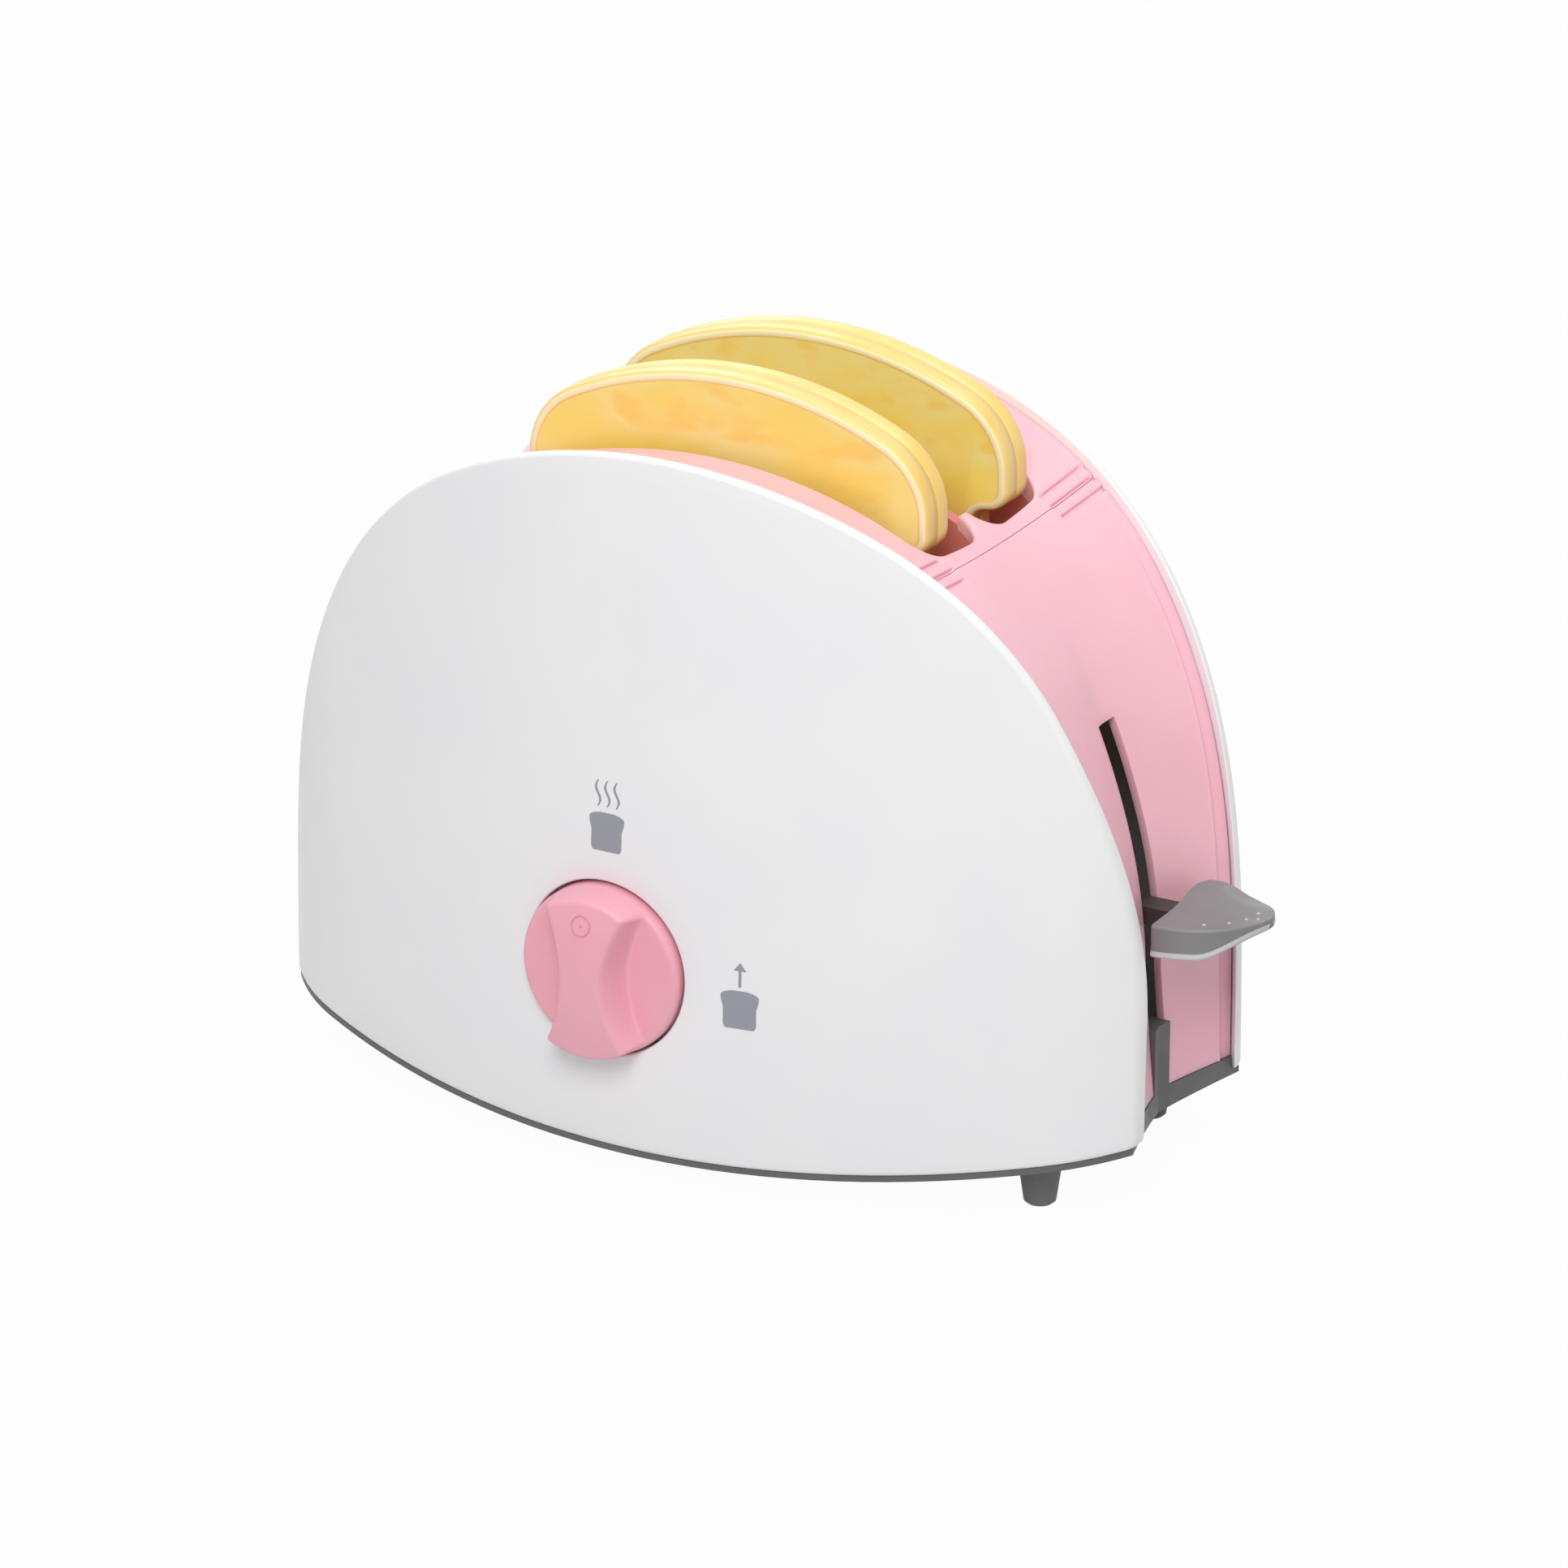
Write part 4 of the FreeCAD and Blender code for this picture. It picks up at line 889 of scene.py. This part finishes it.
def pointer_mark():
    """A small raised ring and dot on the upper end of the grip."""
    face = knob_floor() - KNOB_DEPTH
    rings = []
    for a in full_turn(40):
        u, v = MARK_R * math.cos(a), MARK_V + MARK_R * math.sin(a)
        base = face - grip_height(u, v)
        ring = []
        for b in full_turn(8):
            out = MARK_TUBE * math.cos(b)
            x, z = KNOB[0] + u + out * math.cos(a), KNOB[1] + v + out * math.sin(a)
            ring.append((x, base + MARK_TUBE * math.sin(b), z))
        rings.append(ring)
    points, faces = rings_mesh(rings, close_rings=True)
    new_piece("dial_ring", points, faces, pink_mark, "knob", ())
    rings = []
    for k in range(6):
        b = math.radians(90.0 * k / 5.0)
        ring = []
        for a in full_turn(16):
            reach = DOT_R * math.cos(b)
            u, v = reach * math.cos(a), MARK_V + reach * math.sin(a)
            y = face - grip_height(u, v) - DOT_RISE * math.sin(b)
            ring.append((KNOB[0] + u, y, KNOB[1] + v))
        rings.append(ring)
    points, faces = rings_mesh(rings, cap_last=True)
    new_piece("dial_dot", points, faces, pink_mark, "knob", ())


pointer_mark()


# Printed marks on the front panel

WARM_SIGN, LIFT_SIGN = (-6.9, 70.2), (24.0, 37.4)
SIGN_HEIGHT, STEAM_PITCH, STEAM_SWAY = 8.2, 2.2, 0.55
STEAM_LOW, STEAM_HEIGHT = 79.6, 5.6
PRINT_UNDER, PRINT_OVER = 0.05, -0.06
# Heights of the arrow and its half widths, from the foot of its stem to its tip
ARROW = ((46.4, 0.3), (47.9, 0.3), (49.9, 0.3), (49.95, 1.35), (50.7, 0.75), (51.6, 0.08))


def printed(name, rows):
    """A thin print on the front face, given as rows of a height and the places across it."""
    count = len(rows[0][1])
    points = []
    for lift in (PRINT_OVER, PRINT_UNDER):
        for z, places in rows:
            points.extend((x, face_y(x, z, 0.0) + lift, z) for x in places)
    base = len(rows) * count
    faces = []
    for i in range(len(rows) - 1):
        for j in range(count - 1):
            a = i * count + j
            faces.append((a, a + 1, a + count + 1, a + count))
            faces.append((base + a, base + a + count, base + a + count + 1, base + a + 1))
    rim = list(range(count))
    rim += [i * count + count - 1 for i in range(1, len(rows))]
    rim += list(range(base - 2, base - count - 1, -1))
    rim += [i * count for i in range(len(rows) - 2, 0, -1)]
    for a, b in zip(rim, rim[1:] + rim[:1]):
        faces.append((a, base + a, base + b, b))
    new_piece(name, points, faces, print_grey, "housing", sharp=40.0)


def across(middle, half, count=9):
    """Even places across a mark, about its middle."""
    return [middle + half * (2.0 * k / (count - 1) - 1.0) for k in range(count)]


def slice_half(share):
    """Half width of the printed slice at a share of its height."""
    if share < 0.12:
        return 3.1 + 0.5 * math.sin(math.pi * share / 0.24)
    if share < 0.55:
        return 3.6
    if share < 0.85:
        return 3.6 + 0.55 * math.sin(math.pi * (share - 0.55) / 0.6)
    return 4.15 * math.sqrt(max(1.0 - ((share - 0.85) / 0.15) ** 2 * 0.86, 0.0))


def printed_slice(name, sign):
    x, z = sign
    rows = [(z + SIGN_HEIGHT * k / 24.0, across(x, slice_half(k / 24.0))) for k in range(25)]
    printed(name, rows)


def printed_marks():
    """A slice under three wavy lines for warming, and one under an arrow for lifting."""
    printed_slice("mark_warm_slice", WARM_SIGN)
    for k in (-1, 0, 1):
        rows = []
        for i in range(17):
            share = i / 16.0
            sway = STEAM_SWAY * math.sin(2.0 * math.pi * share)
            middle = WARM_SIGN[0] + STEAM_PITCH * k + sway
            half = 0.14 + 0.16 * math.sin(math.pi * share)
            rows.append((STEAM_LOW + STEAM_HEIGHT * share, across(middle, half, 3)))
        printed("mark_steam_%d" % (k + 2), rows)
    printed_slice("mark_lift_slice", LIFT_SIGN)
    printed("mark_lift_arrow", [(z, across(LIFT_SIGN[0], half, 5)) for z, half in ARROW])


printed_marks()


# Lever paddle

PADDLE_ROOT, PADDLE_TIP, PADDLE_HALF = 97.0, 117.5, 14.0
PADDLE_TOP_Z, PADDLE_FOOT_Z = 60.3, 53.6
HUMP_Y, HUMP_WIDTH, HUMP_RISE = 6.5, 6.0, 1.7
SEAT_X, SEAT_R, SEAT_LOW, SEAT_TOP = 3.0, 3.1, 40.0, 54.65
DOTS = ((113.8, 1.4), (113.0, -2.6), (110.8, -6.0), (106.6, -9.0), (115.2, -1.6))
DOT_REACH, DOT_HEIGHT, DOT_SUNK = 0.45, 0.3, 0.05


# The share runs from 0 at the paddle's root to 1 at its tip

def paddle_half(share):
    return PADDLE_HALF * (1.0 - share ** 2.3) ** 0.62 if share < 1.0 else 0.0


def paddle_top(share, y):
    hump = math.exp(-((y - HUMP_Y) / HUMP_WIDTH) ** 2) * (1.0 - smooth(share, 0.1, 0.7))
    droop = 1.3 * smooth(y, 3.0, 12.0) * smooth(share, 0.15, 0.5)
    return PADDLE_TOP_Z + 0.6 * share + HUMP_RISE * hump - droop


def paddle_under(share):
    return PADDLE_FOOT_Z + 0.4 * smooth(share, 0.0, 0.5) + 5.0 * smooth(share, 0.45, 1.05)


def paddle():
    """The finger paddle: a humped blade on a deep front wall, with a rolled lower edge."""
    rings = []
    shares = [0.0, 0.03]
    shares += [0.08 + 0.8 * k / 16.0 for k in range(17)]
    shares += [0.91, 0.94, 0.965, 0.985, 0.997]
    for share in shares:
        half = paddle_half(share) - (0.5 if share == 0.0 else 0.0)
        x = PADDLE_ROOT + (PADDLE_TIP - PADDLE_ROOT) * share
        under = paddle_under(share)
        wall = paddle_top(share, 0.0) - under
        soft = min(0.7, 0.3 * wall, 0.45 * half)
        roll = min(0.45, 0.2 * wall)
        ring = []
        for k in range(17):
            y = (half - soft) * (1.0 - k / 8.0)
            ring.append((x, y, paddle_top(share, y)))
        for sense in (-1, 1):
            side = []
            edge_top = paddle_top(share, sense * (half - soft))
            for k in range(1, 4):
                a = math.radians(30.0 * k)
                y = sense * (half - soft + soft * math.sin(a))
                side.append((y, edge_top - soft * (1.0 - math.cos(a))))
            side.append((sense * half, under + 3.0 * roll))
            for k in range(5):
                a = math.radians(60.0 - 37.5 * k)
                y = sense * (half - 0.2 * roll + roll * math.cos(a))
                side.append((y, under + roll + roll * math.sin(a)))
            if sense > 0:
                side = side[::-1]
                for k in range(1, 16):
                    y = (half - soft) * (k / 8.0 - 1.0)
                    ring.append((x, y, under))
            ring.extend((x, y, z) for y, z in side)
        rings.append(ring)
    points, faces = rings_mesh(rings, cap_first=True, cap_last=True)
    piece = new_piece(
        "lever_grip", points, faces, grey_paddle, "carriage", ("lever_paddle",),
        sharp=50.0,
    )
    tidy_normals(piece)
    piece.data.materials.append(pale_grey_and_painted_highlight)
    # The rolled edge takes the paler grey, a painted highlight along it: these are its places in
    # a ring
    count = len(rings[0])
    rolled = set(range(20, 25)) | set(range(count - 8, count - 3))
    for face in piece.data.polygons:
        if len(face.vertices) == 4 and all(v % count in rolled for v in face.vertices):
            face.material_index = 1
    pocket(piece)


def pocket(piece):
    """Sinks the screw's seat into the underside of the paddle."""
    rings = []
    for z in (SEAT_LOW, SEAT_TOP):
        rings.append([
            to_frame((PADDLE_ROOT + SEAT_X + SEAT_R * math.cos(a), SEAT_R * math.sin(a), z))
            for a in full_turn(32)
        ])
    points, faces = rings_mesh(rings, cap_first=True, cap_last=True)
    mesh = bpy.data.meshes.new("pocket")
    mesh.from_pydata(points, [], faces)
    cutter = bpy.data.objects.new("pocket", mesh)
    bpy.context.scene.collection.objects.link(cutter)
    tidy_normals(cutter)
    cut = add_modifier(piece, "BOOLEAN", operation="DIFFERENCE", solver="EXACT", object=cutter)
    graph = bpy.context.evaluated_depsgraph_get()
    made = bpy.data.meshes.new_from_object(piece.evaluated_get(graph))
    piece.modifiers.remove(cut)
    piece.data = made
    bpy.data.objects.remove(cutter)


def dots():
    """Small raised grip dots near the paddle's tip."""
    for number, (x, y) in enumerate(DOTS):
        share = (x - PADDLE_ROOT) / (PADDLE_TIP - PADDLE_ROOT)
        base = paddle_top(share, y) - DOT_SUNK
        rings = []
        for k in range(5):
            b = math.radians(22.0 * k)
            reach = DOT_REACH * math.cos(b)
            z = base + DOT_HEIGHT * math.sin(b)
            rings.append([
                (x + reach * math.cos(a), y + reach * math.sin(a), z) for a in full_turn(14)
            ])
        points, faces = rings_mesh(rings, cap_first=True, cap_last=True)
        new_piece(
            "grip_dot_%d" % number, points, faces, pale_grey_and_painted_highlight, "carriage", (),
            sharp=60.0,
        )


paddle()
dots()


# CAD nodes that stay

for names, material in (
    (("base",), grey_base),
    (("bread_well",), well_pink_painted_shade),
    (("carriage", "knob_shaft", "latch_hook", "shaft_bracket"), grey_inner),
    (("base_screws", "paddle_screw", "shaft_clip"), steel),
    (("guide_rod_front", "guide_rod_rear", "spring_front", "spring_rear"), steel),
    (("foot_front_right", "foot_rear_right", "foot_front_left", "foot_rear_left"), grey_foot),
):
    for name in names:
        piece = frame["nodes"][name]
        piece.data.materials.clear()
        piece.data.materials.append(material)


# Stage, light and camera, in metres and watts

FLOOR_HALF, FLOOR_COUNT, FLOOR_Z, FLOOR_WHITE = 3.2, 16, -0.0004, 0.97
WORLD_LIGHT = 0.43
LAMPS = (
    ("key", (0.42, -1.05, 1.05), (0.0, 0.0, 0.08), 0.6, 10.0),
    ("top", (0.1, 0.1, 1.2), (0.0, 0.0, 0.1), 0.6, 4.8),
    ("back", (-0.9, 1.0, 0.9), (0.0, 0.0, 0.08), 0.7, 5.0),
)


def stage():
    """A floor that the camera and mirrored rays see as nearly white, with its shadow kept."""
    count = FLOOR_COUNT
    along = [FLOOR_HALF * (2.0 * i / count - 1.0) for i in range(count + 1)]
    points = [(x, y, FLOOR_Z) for x in along for y in along]
    width = count + 1
    faces = []
    for i in range(count):
        for j in range(count):
            a = i * width + j
            faces.append((a, a + width, a + width + 1, a + 1))
    mesh = bpy.data.meshes.new("floor")
    mesh.from_pydata(points, [], faces)
    floor = bpy.data.objects.new("floor", mesh)
    bpy.context.scene.collection.objects.link(floor)
    m = Nodes("floor_white")
    m.set(Roughness=0.9, Specular_IOR_Level=0.0)
    tone = m.mix(m.spread(m.noise(3.0), 0.0, 1.0), lin(206, 206, 206), lin(202, 202, 202))
    m.link(tone, m.shader.inputs["Base Color"])
    seen = m.add("ShaderNodeLightPath")
    glow = m.add("ShaderNodeEmission", Strength=1.0)
    blend = m.add("ShaderNodeMixShader")
    share = m.add("ShaderNodeMath", operation="MULTIPLY")
    share.inputs[1].default_value = FLOOR_WHITE
    both = m.add("ShaderNodeMath", operation="MAXIMUM")
    m.link(seen.outputs["Is Camera Ray"], both.inputs[0])
    m.link(seen.outputs["Is Glossy Ray"], both.inputs[1])
    m.link(both.outputs[0], share.inputs[0])
    m.link(share.outputs[0], blend.inputs["Fac"])
    m.link(m.shader.outputs[0], blend.inputs[1])
    m.link(glow.outputs[0], blend.inputs[2])
    out = [n for n in m.tree.nodes if n.type == "OUTPUT_MATERIAL"][0]
    m.link(blend.outputs[0], out.inputs["Surface"])
    mesh.materials.append(m.material)


def world():
    """A soft even light that camera, mirrored and transmitted rays see as white."""
    made = bpy.data.worlds.new("studio")
    bpy.context.scene.world = made
    made.use_nodes = True
    tree = made.node_tree
    tree.nodes.clear()
    out = tree.nodes.new("ShaderNodeOutputWorld")
    soft = tree.nodes.new("ShaderNodeBackground")
    seen = tree.nodes.new("ShaderNodeBackground")
    for node, strength in ((soft, WORLD_LIGHT), (seen, 1.0)):
        node.inputs["Color"].default_value = (1.0, 1.0, 1.0, 1.0)
        node.inputs["Strength"].default_value = strength
    path = tree.nodes.new("ShaderNodeLightPath")
    mix = tree.nodes.new("ShaderNodeMixShader")
    first = tree.nodes.new("ShaderNodeMath")
    second = tree.nodes.new("ShaderNodeMath")
    first.operation = second.operation = "MAXIMUM"
    tree.links.new(path.outputs["Is Camera Ray"], first.inputs[0])
    tree.links.new(path.outputs["Is Glossy Ray"], first.inputs[1])
    tree.links.new(first.outputs[0], second.inputs[0])
    tree.links.new(path.outputs["Is Transmission Ray"], second.inputs[1])
    tree.links.new(second.outputs[0], mix.inputs["Fac"])
    tree.links.new(soft.outputs[0], mix.inputs[1])
    tree.links.new(seen.outputs[0], mix.inputs[2])
    tree.links.new(mix.outputs[0], out.inputs["Surface"])


def lamp(name, place, target, size, power):
    data = bpy.data.lights.new(name, "AREA")
    data.shape = "SQUARE"
    data.size = size
    data.energy = power
    made = bpy.data.objects.new(name, data)
    bpy.context.scene.collection.objects.link(made)
    made.location = place
    away = Vector(place) - Vector(target)
    made.rotation_euler = away.to_track_quat("Z", "Y").to_euler()


def camera():
    """The photograph's view: azimuth from the front, elevation, distance and aim."""
    azimuth, elevation, distance = math.radians(28.83), math.radians(21.28), 1.68795
    target = Vector((-0.00373, 0.00465, 0.06897))
    back = Vector((
        math.sin(azimuth) * math.cos(elevation),
        -math.cos(azimuth) * math.cos(elevation),
        math.sin(elevation),
    ))
    data = bpy.data.cameras.new("camera")
    data.sensor_width = 36.0
    data.lens = 186.5
    made = bpy.data.objects.new("camera", data)
    bpy.context.scene.collection.objects.link(made)
    made.location = target + back * distance
    made.rotation_euler = back.to_track_quat("Z", "Y").to_euler()
    bpy.context.scene.camera = made


stage()
world()
for values in LAMPS:
    lamp(*values)
camera()
bpy.context.scene.view_settings.view_transform = "Standard"
